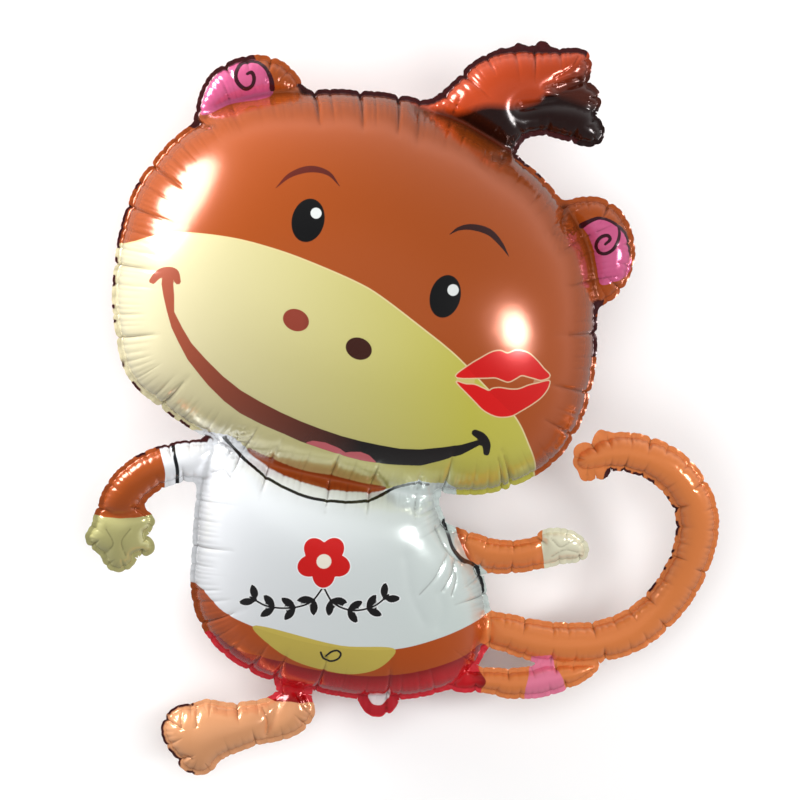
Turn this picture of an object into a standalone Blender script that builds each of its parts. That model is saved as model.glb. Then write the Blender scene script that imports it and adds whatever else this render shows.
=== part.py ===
"""A monkey foil balloon, blown up and lying on its back with its face up.

Two printed foils are welded together along one seam and blown up through a flat tab under the
shorts.  The figure is drawn as outlines of its limbs on the flat seam.  Their union gives the seam,
a film equation over it gives how far the foil bulges, and both foils and the thin welded rim round
them make one closed body.  +X is the figure's left-hand side in the drawing, +Y points to the top of
the head and +Z to the face, in metres.
"""

import bpy
import numpy as np
from mathutils import Vector
from mathutils.geometry import delaunay_2d_cdt

# The whole figure, from the top of the hair to the sole, and the height its outlines are drawn for.
HEIGHT = 0.85
DRAWN_HEIGHT = 850.0
UNIT = HEIGHT / DRAWN_HEIGHT

# The welded rim, and the flat tab that the balloon is filled through.
RIM_WIDTH = 0.0055
RIM_THICKNESS = 0.0012
TAB_RADIUS = 0.0235

# How far a round pillow of foil bulges to each side, as a share of its radius.
BULGE = 0.6
# How deep the flat spots are pressed in that the head and the belly lie on.
FLAT_SPOT = 0.0025
# Limbs run into each other with this fillet at the seam.
CROTCH_FILLET = 0.006

# The film equation is solved on a grid of this pitch.
GRID_STEP = 0.0025
# Faces: longest edge along the seam, sharpest turn for one edge, pitch of the points inside.
SEAM_EDGE = 0.024
SEAM_TURN = 0.7
FACE_PITCH = 0.019
# Rows of points that follow the seam inside it, where the foil rises fast.
ROW_DEPTHS = (0.0, 0.0022, 0.0085)
# Rows of points that follow each crease: how far they lie to its sides, and their spacing along it.
CREASE_SIDES = (-0.0075, 0.0, 0.0075)
CREASE_EDGE = 0.011

FOIL_COLOUR = (0.62, 0.24, 0.08, 1.0)

# Outlines on the seam, in drawn millimetres from the middle of the figure, clockwise from the left.
HEAD = [
    (-332, 103), (-317, 43), (-278, 5), (-209, -35), (-87, -73), (28, -91), (107, -89), (173, -49),
    (204, 14), (213, 95), (204, 172), (169, 242), (109, 297), (28, 346), (-76, 362), (-166, 354),
    (-249, 320), (-305, 258), (-329, 184),
]
EAR_LEFT = [
    (-238, 329), (-235, 355), (-224, 379), (-203, 394), (-174, 401), (-151, 397), (-134, 384),
    (-123, 361), (-139, 326), (-197, 309),
]
EAR_RIGHT = [
    (179, 231), (199, 239), (225, 237), (243, 223), (254, 198), (256, 176), (250, 153), (236, 133),
    (218, 124), (192, 141), (179, 187),
]
HAIR = [
    (10, 341), (38, 356), (54, 372), (75, 393), (98, 405), (127, 410), (161, 409), (186, 409),
    (202, 407), (206, 394), (203, 379), (205, 371), (216, 363), (217, 350), (211, 340), (217, 329),
    (221, 318), (216, 307), (197, 307), (169, 316), (147, 319), (131, 313), (121, 299), (115, 274),
    (75, 297), (28, 326),
]
TORSO = [
    (-220, -38), (-234, -73), (-239, -113), (-242, -160), (-242, -212), (-232, -249), (-207, -281),
    (-166, -307), (-100, -326), (-35, -335), (17, -333), (57, -320), (85, -294), (94, -264),
    (94, -229), (86, -197), (66, -169), (46, -142), (33, -113), (26, -82), (-29, -38), (-168, -15),
]
HAND_LEFT = [
    (-308, -116), (-298, -121), (-294, -129), (-303, -143), (-294, -156), (-297, -164), (-314, -166),
    (-317, -177), (-331, -183), (-343, -177), (-347, -165), (-361, -155), (-365, -146), (-357, -132),
    (-352, -116),
]
HAND_RIGHT = [
    (157, -146), (174, -143), (190, -146), (207, -160), (206, -173), (186, -176), (157, -177),
]
LEG_LEFT = [
    (-142, -310), (-144, -332), (-157, -341), (-183, -345), (-210, -346), (-228, -342), (-242, -347),
    (-256, -348), (-270, -355), (-277, -369), (-273, -387), (-262, -402), (-257, -413), (-242, -421),
    (-226, -418), (-219, -407), (-194, -395), (-166, -386), (-134, -379), (-115, -368), (-108, -353),
    (-114, -333), (-118, -310),
]
LEG_RIGHT = [
    (49, -311), (84, -308), (118, -309), (144, -308), (169, -302), (198, -302), (223, -304),
    (207, -317), (186, -327), (161, -334), (121, -335), (98, -329), (57, -325),
]
# Limbs that are tubes: points on the centre line, and the radius of the tube at each.
TAIL = [
    (86, -262, 16), (109, -261, 17), (166, -275, 20), (223, -275, 20), (271, -259, 20), (309, -223, 20),
    (332, -177, 20), (337, -129, 20), (321, -90, 19.5), (291, -62, 19), (257, -50, 18.5),
    (231, -50, 16), (206, -58, 11.5),
]
ARM_LEFT = [
    (-220, -57, 19.5), (-261, -58, 19), (-293, -68, 19), (-317, -86, 19.5), (-329, -108, 20.5),
    (-330, -131, 20.5),
]
ARM_RIGHT = [
    (51, -155, 15), (75, -164, 16), (103, -172, 15.5), (132, -172, 15), (161, -166, 14), (179, -162, 11.5),
]
# The rim stands out in teeth along the crown of the hair.
HAIR_TEETH = [
    (28, 358), (38, 366), (50, 371), (65, 394), (75, 392), (84, 407), (94, 405), (106, 416), (115, 408),
    (123, 422), (139, 416), (154, 425), (170, 411), (190, 415), (206, 412), (190, 395), (90, 385),
]
TAB_CENTRE = (-29, -338)

# Welds and tight creases, as lines across the figure: points, breadth and how hard they pull in.
CREASES = {
    "neck": ([(-220, -30), (-160, -58), (-80, -78), (0, -93), (34, -94)], 5.0, 1.1),
    "left ear": ([(-241, 333), (-201, 351), (-157, 361), (-120, 363)], 4.0, 2.5),
    "right ear": ([(179, 234), (204, 187), (214, 132)], 4.0, 2.5),
    "hair": ([(8, 346), (60, 328), (120, 292)], 4.0, 2.5),
    "upper lock": ([(207, 377), (190, 374), (170, 367)], 3.0, 1.6),
    "lower lock": ([(215, 339), (190, 348), (165, 350), (125, 347)], 3.0, 1.3),
    "left shoulder": ([(-218, -35), (-229, -60), (-236, -92)], 3.5, 2.0),
    "right shoulder": ([(55, -135), (66, -160), (88, -192)], 3.5, 1.8),
    "tail root": ([(93, -240), (97, -262), (93, -285)], 3.5, 2.2),
    "left hip": ([(-150, -318), (-130, -324), (-105, -328)], 3.5, 2.2),
    "right hip": ([(80, -300), (66, -316), (52, -330)], 3.5, 2.2),
    "knee": ([(-143, -336), (-150, -352), (-160, -376)], 2.5, 1.2),
    "left wrist": ([(-352, -118), (-330, -120), (-306, -117)], 2.5, 1.2),
    "right wrist": ([(157, -146), (158, -162), (158, -178)], 2.5, 1.4),
}

# The seam lies level through the head, and drops towards the hips until the belly's back touches down.
DROP_STARTS = -40.0
DROP_ENDS = -270.0


def smooth_curve(points, closed, pieces=8):
    """A centripetal Catmull-Rom curve through the points, in metres."""
    knots = np.array(points, float) * UNIT
    count = len(knots)
    if closed:
        around = np.vstack([knots[-1:], knots, knots[:2]])
    else:
        around = np.vstack([2 * knots[0] - knots[1], knots, 2 * knots[-1] - knots[-2]])
        count -= 1
    curve = []
    for a, b, c, d in zip(around[:count], around[1:], around[2:], around[3:]):
        t1 = np.linalg.norm((b - a)[:2]) ** 0.5
        t2 = t1 + np.linalg.norm((c - b)[:2]) ** 0.5
        t3 = t2 + np.linalg.norm((d - c)[:2]) ** 0.5
        for t in np.linspace(t1, t2, pieces, endpoint=False):
            ab = (t1 - t) / t1 * a + t / t1 * b
            bc = (t2 - t) / (t2 - t1) * b + (t - t1) / (t2 - t1) * c
            cd = (t3 - t) / (t3 - t2) * c + (t - t2) / (t3 - t2) * d
            near = (t2 - t) / t2 * ab + t / t2 * bc
            far = (t3 - t) / (t3 - t1) * bc + (t - t1) / (t3 - t1) * cd
            curve.append((t2 - t) / (t2 - t1) * near + (t - t1) / (t2 - t1) * far)
    if not closed:
        curve.append(knots[-1])
    return np.array(curve)


def line_distance(x, y, line, closed=False):
    """Distance to a polyline, less the radius that it carries as a third column."""
    best = np.full(x.shape, np.inf)
    ends = np.roll(line, -1, axis=0) if closed else line[1:]
    for a, b in zip(line, ends):
        run = b[:2] - a[:2]
        share = ((x - a[0]) * run[0] + (y - a[1]) * run[1]) / max(run @ run, 1e-18)
        share = np.clip(share, 0.0, 1.0)
        away = np.hypot(x - a[0] - share * run[0], y - a[1] - share * run[1])
        if line.shape[1] == 3:
            away = away - (a[2] + share * (b[2] - a[2]))
        best = np.minimum(best, away)
    return best


def loop_distance(x, y, loop):
    """Signed distance to a closed outline, negative inside it."""
    inside = np.zeros(x.shape, bool)
    for a, b in zip(loop, np.roll(loop, -1, axis=0)):
        if a[1] == b[1]:
            continue
        crosses = (a[1] > y) != (b[1] > y)
        inside ^= crosses & (x < a[0] + (y - a[1]) / (b[1] - a[1]) * (b[0] - a[0]))
    away = line_distance(x, y, loop, closed=True)
    return np.where(inside, -away, away)


def run_together(a, b, fillet):
    """Union of two distance fields with a fillet in the crotch between them."""
    near = np.maximum(fillet - np.abs(a - b), 0.0) / fillet
    return np.minimum(a, b) - near * near * fillet / 4


class Sheet:
    """The flat seam on a grid: how far each point is from it, and how far the foil bulges there."""

    def __init__(self, step):
        self.step = step
        half_width = 0.47 * HEIGHT
        half_height = 0.53 * HEIGHT
        self.xs = np.arange(-half_width, half_width, step)
        self.ys = np.arange(-half_height, half_height, step)
        self.x, self.y = np.meshgrid(self.xs, self.ys)
        self.seam = self.join_limbs()
        self.rim = self.widen_rim()
        self.film = self.blow_up()

    def near(self, line, reach):
        """The part of the grid round a line, so that small limbs cost little."""
        low = line[:, :2].min(axis=0) - reach
        high = line[:, :2].max(axis=0) + reach
        columns = slice(*np.searchsorted(self.xs, (low[0], high[0])))
        rows = slice(*np.searchsorted(self.ys, (low[1], high[1])))
        return rows, columns

    def add(self, field, line, distance, fillet=CROTCH_FILLET):
        """Runs one limb into the field."""
        part = self.near(line, 0.05 * HEIGHT)
        field[part] = run_together(field[part], distance(self.x[part], self.y[part], line), fillet)

    def join_limbs(self):
        """Signed distance to the seam round the whole figure."""
        field = np.full(self.x.shape, 0.2 * HEIGHT)
        loops = (HEAD, TORSO, EAR_LEFT, EAR_RIGHT, HAIR, HAND_LEFT, HAND_RIGHT, LEG_LEFT)
        for loop in loops:
            self.add(field, smooth_curve(loop, True), loop_distance)
        for tube in (ARM_LEFT, ARM_RIGHT, TAIL):
            self.add(field, smooth_curve(tube, False), line_distance)
        # The right leg lies under the tail: only their rims meet.
        leg = smooth_curve(LEG_RIGHT, True)
        self.add(field, leg, loop_distance, 0.1 * CROTCH_FILLET)
        return field

    def widen_rim(self):
        """Signed distance to the outer edge of the welded rim."""
        field = self.seam - RIM_WIDTH
        teeth = np.array(HAIR_TEETH, float) * UNIT
        part = self.near(teeth, 0.02 * HEIGHT)
        tooth_field = loop_distance(self.x[part], self.y[part], teeth)
        field[part] = np.minimum(field[part], tooth_field)
        tab = np.array(TAB_CENTRE) * UNIT
        tab_field = np.hypot(self.x - tab[0], self.y - tab[1]) - TAB_RADIUS
        return run_together(field, tab_field, 0.002)

    def blow_up(self):
        """Solves the film equation inside the seam by conjugate gradients."""
        pull = np.zeros(self.x.shape)
        for line, breadth, strength in CREASES.values():
            crease = smooth_curve(line, False)
            part = self.near(crease, 5 * breadth * UNIT)
            away = line_distance(self.x[part], self.y[part], crease)
            width = breadth * UNIT
            pull[part] += strength / width ** 2 * np.exp(-(away / width) ** 2)
        inside = self.seam < 0
        inside[[0, -1], :] = False
        inside[:, [0, -1]] = False
        depth = np.where(inside, -self.seam, 0.0)
        weight = pull * self.step ** 2
        for axis, shift in ((0, 1), (0, -1), (1, 1), (1, -1)):
            beyond = np.roll(self.seam, shift, axis)
            share = depth / np.maximum(depth + np.maximum(beyond, 0.0), 1e-12)
            weight += np.where(beyond < 0, 1.0, 1.0 / np.clip(share, 0.05, 1.0))
        load = np.where(inside, self.step ** 2, 0.0)

        def stretch(film):
            pulled = weight * film
            pulled[1:-1, 1:-1] -= film[:-2, 1:-1] + film[2:, 1:-1] + film[1:-1, :-2] + film[1:-1, 2:]
            return np.where(inside, pulled, 0.0)

        film = np.zeros(self.x.shape)
        left = load - stretch(film)
        eased = np.where(inside, left / weight, 0.0)
        search = eased.copy()
        power = np.sum(left * eased)
        start = power
        for _ in range(3000):
            pulled = stretch(search)
            size = power / np.sum(search * pulled)
            film += size * search
            left -= size * pulled
            eased = np.where(inside, left / weight, 0.0)
            fresh = np.sum(left * eased)
            if fresh < 1e-11 * start:
                break
            search = eased + fresh / power * search
            power = fresh
        return self.carry_past_seam(film, inside)

    def carry_past_seam(self, film, inside):
        """Lets the film run on below zero outside the seam, so that it crosses zero right on it."""
        slope = np.where(inside, film / np.maximum(-self.seam, 0.3 * self.step), 0.0)
        known = inside & (self.seam < -0.3 * self.step)
        slope = np.where(known, slope, 0.0)
        count = known.astype(float)
        for _ in range(3):
            total, neighbours = slope * count, count.copy()
            for axis, shift in ((0, 1), (0, -1), (1, 1), (1, -1)):
                total = total + np.roll(slope * count, shift, axis)
                neighbours += np.roll(count, shift, axis)
            fresh = (count == 0) & (neighbours > 0)
            slope = np.where(fresh, total / np.maximum(neighbours, 1.0), slope)
            count = np.where(fresh, 1.0, count)
        return np.where(inside & known, film, -self.seam * slope)

    def read(self, field, points):
        """Bilinear value of a field at points."""
        u = (points[:, 0] - self.xs[0]) / self.step
        v = (points[:, 1] - self.ys[0]) / self.step
        i = np.clip(u.astype(int), 0, len(self.xs) - 2)
        j = np.clip(v.astype(int), 0, len(self.ys) - 2)
        u, v = u - i, v - j
        low = field[j, i] * (1 - u) + field[j, i + 1] * u
        high = field[j + 1, i] * (1 - u) + field[j + 1, i + 1] * u
        return low * (1 - v) + high * v

    def bulge(self, points):
        """How far each foil stands off the seam surface, which is nothing on the seam and outside it."""
        film = np.maximum(self.read(self.film, points), 0.0)
        film[self.read(self.seam, points) > -0.2 * self.step] = 0.0
        return 2 * BULGE * np.sqrt(film)

    def contours(self, field):
        """Closed lines where a field crosses zero, by marching squares."""
        joins = {}
        places = {}
        below = field < 0
        square = below[:-1, :-1] * 1 + below[:-1, 1:] * 2 + below[1:, 1:] * 4 + below[1:, :-1] * 8
        # Each case lists the sides of a square that a line enters and leaves by, with the inside on its left.
        cases = {
            1: [(0, 3)], 2: [(1, 0)], 3: [(1, 3)], 4: [(2, 1)], 5: [(0, 3), (2, 1)], 6: [(2, 0)],
            7: [(2, 3)], 8: [(3, 2)], 9: [(0, 2)], 10: [(1, 0), (3, 2)], 11: [(1, 2)], 12: [(3, 1)],
            13: [(0, 1)], 14: [(3, 0)],
        }
        for j, i in zip(*np.nonzero((square > 0) & (square < 15))):
            sides = (
                ((j, i), (j, i + 1)), ((j, i + 1), (j + 1, i + 1)),
                ((j + 1, i), (j + 1, i + 1)), ((j, i), (j + 1, i)),
            )
            for start, end in cases[square[j, i]]:
                joins[sides[start]] = sides[end]
                for side in (sides[start], sides[end]):
                    (ja, ia), (jb, ib) = side
                    share = field[ja, ia] / (field[ja, ia] - field[jb, ib])
                    x = self.xs[ia] + share * (self.xs[ib] - self.xs[ia])
                    places[side] = (x, self.ys[ja] + share * (self.ys[jb] - self.ys[ja]))
        loops = []
        while joins:
            side, following = joins.popitem()
            chain = [side]
            while following != side:
                chain.append(following)
                following = joins.pop(following)
            loops.append(np.array([places[key] for key in chain]))
        return loops


def spaced(loop, edge, turn):
    """Points along a loop, closer together where it turns sharply."""
    runs = np.linalg.norm(np.roll(loop, -1, axis=0) - loop, axis=1)
    length = runs.sum()
    even = np.linspace(0.0, length, max(int(length / 0.001), 12), endpoint=False)
    places = np.append(0.0, np.cumsum(runs))
    closed = np.vstack([loop, loop[:1]])
    fine = np.stack([np.interp(even, places, closed[:, k]) for k in (0, 1)], axis=1)
    for _ in range(4):
        fine = (np.roll(fine, 1, axis=0) + 2 * fine + np.roll(fine, -1, axis=0)) / 4
    ahead = np.roll(fine, -3, axis=0) - fine
    behind = fine - np.roll(fine, 3, axis=0)
    bend = ahead[:, 0] * behind[:, 1] - ahead[:, 1] * behind[:, 0]
    angle = np.abs(np.arctan2(bend, np.sum(ahead * behind, axis=1))) / 3
    steps = np.linalg.norm(np.roll(fine, -1, axis=0) - fine, axis=1) / edge + angle / turn
    total = np.append(0.0, np.cumsum(steps))
    count = max(int(round(total[-1])), 8)
    wanted = np.linspace(0.0, total[-1], count, endpoint=False)
    ring = np.vstack([fine, fine[:1]])
    return np.stack([np.interp(wanted, total, ring[:, k]) for k in (0, 1)], axis=1)


def crease_points(sheet):
    """Points along each crease and beside it, as far as they lie inside the rows along the seam."""
    rows = []
    for line, _, _ in CREASES.values():
        curve = smooth_curve(line, False)
        places = np.append(0.0, np.cumsum(np.linalg.norm(np.diff(curve, axis=0), axis=1)))
        count = max(int(round(places[-1] / CREASE_EDGE)), 2) + 1
        for row, side in enumerate(CREASE_SIDES):
            wanted = np.linspace(0.0, places[-1], count)
            if row != 1:
                wanted = (wanted[1:] + wanted[:-1]) / 2
            along = np.stack([np.interp(wanted, places, curve[:, k]) for k in (0, 1)], axis=1)
            run = np.gradient(along, axis=0)
            run /= np.linalg.norm(run, axis=1)[:, None]
            rows.append(along + side * np.column_stack([-run[:, 1], run[:, 0]]))
    points = np.vstack(rows)
    return points[sheet.read(sheet.seam, points) < -ROW_DEPTHS[-1] - 0.2 * CREASE_EDGE]


def inner_points(sheet, pitch, clear, taken):
    """A triangular lattice of points, kept clear of the rows along the seam and the creases."""
    rows = []
    height = pitch * 3 ** 0.5 / 2
    for k, y in enumerate(np.arange(sheet.ys[0], sheet.ys[-1], height)):
        x = np.arange(sheet.xs[0] + (k % 2) * pitch / 2, sheet.xs[-1], pitch)
        rows.append(np.stack([x, np.full(len(x), y)], axis=1))
    points = np.vstack(rows)
    points = points[sheet.read(sheet.seam, points) < -clear]
    gaps = np.linalg.norm(points[:, None] - taken[None], axis=2).min(axis=1)
    return points[gaps > 0.55 * pitch]


def lay_out(sheet):
    """Triangles over the figure and its rim, with rows of points along the seam."""
    outer = [spaced(loop, SEAM_EDGE, SEAM_TURN) for loop in sheet.contours(sheet.rim)]
    loops = list(outer)
    for depth in ROW_DEPTHS:
        for loop in sheet.contours(sheet.seam + depth):
            row = spaced(loop, SEAM_EDGE, SEAM_TURN)
            if len(row) > 8:
                loops.append(row)
    points, edges = [], []
    for loop in loops:
        first = len(points)
        points.extend(Vector(place) for place in loop)
        edges.extend((first + k, first + (k + 1) % len(loop)) for k in range(len(loop)))
    creased = crease_points(sheet)
    free = inner_points(sheet, FACE_PITCH, ROW_DEPTHS[-1] + 0.45 * FACE_PITCH, creased)
    points.extend(Vector(place) for place in np.vstack([creased, free]))
    places, _, faces, _, _, _ = delaunay_2d_cdt(points, edges, [], 0, 1e-7)
    places = np.array([tuple(place) for place in places])
    faces = np.array([face for face in faces if len(face) == 3])
    middles = places[faces].mean(axis=1)
    keep = sheet.read(sheet.rim, middles) < 0
    return places, faces[keep]


def seam_height(places, bulge):
    """Height of the seam surface: level in the head, and lower at the hips, with both backs down."""
    share = (places[:, 1] / UNIT - DROP_STARTS) / (DROP_ENDS - DROP_STARTS)
    share = np.clip(share, 0.0, 1.0)
    share = share * share * (3 - 2 * share)
    head_rise = bulge[share == 0].max() - FLAT_SPOT
    below = share > 0.1
    drop = np.min((head_rise - bulge[below] + FLAT_SPOT) / share[below])
    return head_rise - drop * share


def rim_edges(faces):
    """Edges with a face on one side only, in the direction of that face."""
    edges = {(a, b) for face in faces for a, b in zip(face, np.roll(face, -1))}
    return [(a, b) for a, b in edges if (b, a) not in edges]


def build_balloon():
    """Both foils and the rim as one closed mesh."""
    sheet = Sheet(GRID_STEP)
    places, faces = lay_out(sheet)
    used = np.unique(faces)
    places = places[used]
    faces = np.searchsorted(used, faces)
    bulge = sheet.bulge(places) + RIM_THICKNESS / 2
    middle = seam_height(places, bulge)
    front = np.column_stack([places, middle + bulge])
    back = np.column_stack([places, np.maximum(middle - bulge, 0.0)])
    shift = (places.min(axis=0) + places.max(axis=0)) / 2
    points = np.vstack([front, back])
    points[:, :2] -= shift
    count = len(places)
    solid = [tuple(face) for face in faces]
    solid += [tuple(count + face[::-1]) for face in faces]
    for a, b in rim_edges(faces.tolist()):
        solid.append((b, a, count + a))
        solid.append((b, count + a, count + b))
    mesh = bpy.data.meshes.new("foil_balloon")
    mesh.from_pydata(points.tolist(), [], [[int(k) for k in face] for face in solid])
    mesh.update()
    return mesh


def make_foil():
    """The printed foil's glossy brown."""
    material = bpy.data.materials.new("printed_foil")
    material.use_nodes = True
    shader = material.node_tree.nodes["Principled BSDF"]
    shader.inputs["Base Color"].default_value = FOIL_COLOUR
    shader.inputs["Metallic"].default_value = 0.3
    shader.inputs["Roughness"].default_value = 0.25
    return material


def main():
    for thing in list(bpy.data.objects):
        bpy.data.objects.remove(thing)
    mesh = build_balloon()
    mesh.materials.append(make_foil())
    mesh.shade_smooth()
    balloon = bpy.data.objects.new("foil_balloon", mesh)
    bpy.context.scene.collection.objects.link(balloon)


main()
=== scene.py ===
"""The looks of the monkey foil balloon: two printed, metallised foils, puckered along their weld.

The outlines and the film equation are those of the part, solved on a finer grid.  The foil is then drawn
in along valleys that run in from the weld, as flat foil is when it is blown up, and the print is laid
out in the flat drawing, so that it follows every pucker.
"""

import bpy
import numpy as np
from mathutils import Matrix, Vector
from mathutils.geometry import delaunay_2d_cdt
from mathutils.kdtree import KDTree


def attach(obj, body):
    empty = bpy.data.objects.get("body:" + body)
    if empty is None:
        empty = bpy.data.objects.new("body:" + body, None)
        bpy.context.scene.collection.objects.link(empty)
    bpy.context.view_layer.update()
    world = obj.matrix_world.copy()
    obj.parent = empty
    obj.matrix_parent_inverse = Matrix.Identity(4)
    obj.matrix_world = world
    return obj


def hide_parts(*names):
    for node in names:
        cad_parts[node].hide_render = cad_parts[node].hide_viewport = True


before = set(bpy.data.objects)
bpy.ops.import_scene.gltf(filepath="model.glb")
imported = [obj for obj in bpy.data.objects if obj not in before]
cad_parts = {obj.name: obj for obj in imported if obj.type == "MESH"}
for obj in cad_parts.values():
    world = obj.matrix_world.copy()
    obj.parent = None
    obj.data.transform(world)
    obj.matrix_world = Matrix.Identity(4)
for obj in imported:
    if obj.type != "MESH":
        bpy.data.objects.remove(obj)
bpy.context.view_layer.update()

# Sizes of the part, in metres, and the height in millimetres that its outlines are drawn for.
HEIGHT = 0.85
UNIT = HEIGHT / 850.0
RIM_WIDTH = 0.0055
RIM_HALF = 0.0004
TAB_RADIUS = 0.0235
BULGE = 0.6
FLAT_SPOT = 0.0025
CROTCH_FILLET = 0.006
GRID_STEP = 0.0015

# Outlines on the seam, in drawn millimetres from the middle of the figure, clockwise from the left.
HEAD = [
    (-332, 103), (-317, 43), (-278, 5), (-209, -35), (-87, -73), (28, -91), (107, -89), (173, -49),
    (204, 14), (213, 95), (204, 172), (169, 242), (109, 297), (28, 346), (-76, 362), (-166, 354),
    (-249, 320), (-305, 258), (-329, 184),
]
EAR_LEFT = [
    (-238, 329), (-235, 355), (-224, 379), (-203, 394), (-174, 401), (-151, 397), (-134, 384),
    (-123, 361), (-139, 326), (-197, 309),
]
EAR_RIGHT = [
    (179, 231), (199, 239), (225, 237), (243, 223), (254, 198), (256, 176), (250, 153), (236, 133),
    (218, 124), (192, 141), (179, 187),
]
HAIR = [
    (10, 341), (38, 356), (54, 372), (75, 393), (98, 405), (127, 410), (161, 409), (186, 409),
    (202, 407), (206, 394), (203, 379), (205, 371), (216, 363), (217, 350), (211, 340), (217, 329),
    (221, 318), (216, 307), (197, 307), (169, 316), (147, 319), (131, 313), (121, 299), (115, 274),
    (75, 297), (28, 326),
]
TORSO = [
    (-220, -38), (-234, -73), (-239, -113), (-242, -160), (-242, -212), (-232, -249), (-207, -281),
    (-166, -307), (-100, -326), (-35, -335), (17, -333), (57, -320), (85, -294), (94, -264),
    (94, -229), (86, -197), (66, -169), (46, -142), (33, -113), (26, -82), (-29, -38), (-168, -15),
]
HAND_LEFT = [
    (-308, -116), (-298, -121), (-294, -129), (-303, -143), (-294, -156), (-297, -164), (-314, -166),
    (-317, -177), (-331, -183), (-343, -177), (-347, -165), (-361, -155), (-365, -146), (-357, -132),
    (-352, -116),
]
HAND_RIGHT = [
    (157, -146), (174, -143), (190, -146), (207, -160), (206, -173), (186, -176), (157, -177),
]
LEG_LEFT = [
    (-142, -310), (-144, -332), (-157, -341), (-183, -345), (-210, -346), (-228, -342), (-242, -347),
    (-256, -348), (-270, -355), (-277, -369), (-273, -387), (-262, -402), (-257, -413), (-242, -421),
    (-226, -418), (-219, -407), (-194, -395), (-166, -386), (-134, -379), (-115, -368), (-108, -353),
    (-114, -333), (-118, -310),
]
LEG_RIGHT = [
    (49, -311), (84, -308), (118, -309), (144, -308), (169, -302), (198, -302), (223, -304),
    (207, -317), (186, -327), (161, -334), (121, -335), (98, -329), (57, -325),
]
# Limbs that are tubes: points on the centre line, and the radius of the tube at each.
TAIL = [
    (86, -262, 16), (109, -261, 17), (166, -275, 20), (223, -275, 20), (271, -259, 20), (309, -223, 20),
    (332, -177, 20), (337, -129, 20), (321, -90, 19.5), (291, -62, 19), (257, -50, 18.5),
    (231, -50, 16), (206, -58, 11.5),
]
ARM_LEFT = [
    (-220, -57, 19.5), (-261, -58, 19), (-293, -68, 19), (-317, -86, 19.5), (-329, -108, 20.5),
    (-330, -131, 20.5),
]
ARM_RIGHT = [
    (51, -155, 15), (75, -164, 16), (103, -172, 15.5), (132, -172, 15), (161, -166, 14), (179, -162, 11.5),
]
HAIR_TEETH = [
    (28, 358), (38, 366), (50, 371), (65, 394), (75, 392), (84, 407), (94, 405), (106, 416), (115, 408),
    (123, 422), (139, 416), (154, 425), (170, 411), (190, 415), (206, 412), (190, 395), (90, 385),
]
TAB_CENTRE = (-29, -338)
# Bumps of the rim at the tip of the tail, each with its radius.
TAIL_BUMPS = [(224, -33, 11), (202, -50, 13), (207, -75, 10), (224, -73, 9)]

# Welds and tight creases, as lines across the figure: points, breadth and how hard they pull in.
CREASES = {
    "neck": ([(-220, -30), (-160, -58), (-80, -78), (0, -93), (34, -94)], 5.0, 1.1),
    "left ear": ([(-241, 333), (-201, 351), (-157, 361), (-120, 363)], 4.0, 2.5),
    "right ear": ([(179, 234), (204, 187), (214, 132)], 4.0, 2.5),
    "hair": ([(8, 346), (60, 328), (120, 292)], 4.0, 2.5),
    "upper lock": ([(207, 377), (190, 374), (170, 367)], 3.0, 1.6),
    "lower lock": ([(215, 339), (190, 348), (165, 350), (125, 347)], 3.0, 1.3),
    "left shoulder": ([(-218, -35), (-229, -60), (-236, -92)], 3.5, 2.0),
    "right shoulder": ([(55, -135), (66, -160), (88, -192)], 3.5, 1.8),
    "tail root": ([(93, -240), (97, -262), (93, -285)], 3.5, 2.2),
    "left hip": ([(-150, -318), (-130, -324), (-105, -328)], 3.5, 2.2),
    "right hip": ([(80, -300), (66, -316), (52, -330)], 3.5, 2.2),
    "knee": ([(-143, -336), (-150, -352), (-160, -376)], 2.5, 1.2),
    "left wrist": ([(-352, -118), (-330, -120), (-306, -117)], 2.5, 1.2),
    "right wrist": ([(157, -146), (158, -162), (158, -178)], 2.5, 1.4),
}
PUCKERED_WELDS = ("neck", "left ear", "right ear", "hair")
# Single folds in the foil: points, depth and half width, in drawn millimetres.
FOLDS = [
    ([(32, -133), (42, -156), (55, -170), (68, -177)], 2.6, 2.6),
    ([(55, -172), (49, -190), (39, -206)], 1.8, 2.4),
    ([(43, -168), (30, -190), (12, -210)], 1.6, 2.6),
    ([(52, -174), (55, -194), (50, -213)], 1.4, 2.4),
    ([(-6, -167), (1, -207), (17, -243)], 1.6, 9.0),
    ([(35, -210), (40, -232), (34, -250)], 1.3, 6.0),
    ([(-241, -344), (-242, -367)], 2.6, 2.6),
    ([(-258, -347), (-260, -370)], 2.4, 2.6),
    ([(-266, -400), (-246, -406)], 1.8, 2.4),
    ([(-126, -330), (-116, -346), (-106, -360)], 1.8, 2.0),
    ([(-165, -346), (-158, -363), (-159, -380)], 1.8, 2.0),
    ([(-226, -68), (-214, -66), (-204, -75)], 1.6, 2.4),
    ([(-318, -135), (-328, -150), (-323, -167)], 1.4, 2.6),
    ([(-346, -135), (-338, -153), (-348, -166)], 1.4, 2.6),
    ([(167, -150), (178, -160), (192, -152)], 1.5, 2.4),
    ([(169, -172), (183, -164), (199, -167)], 1.5, 2.4),
    ([(220, 374), (201, 377), (179, 371), (157, 367)], 4.2, 4.5),
    ([(225, 343), (205, 353), (182, 356), (156, 356)], 3.6, 4.5),
    ([(194, 404), (184, 390), (168, 380)], 2.0, 3.0),
]
DROP_STARTS = -40.0
DROP_ENDS = -270.0

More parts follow.
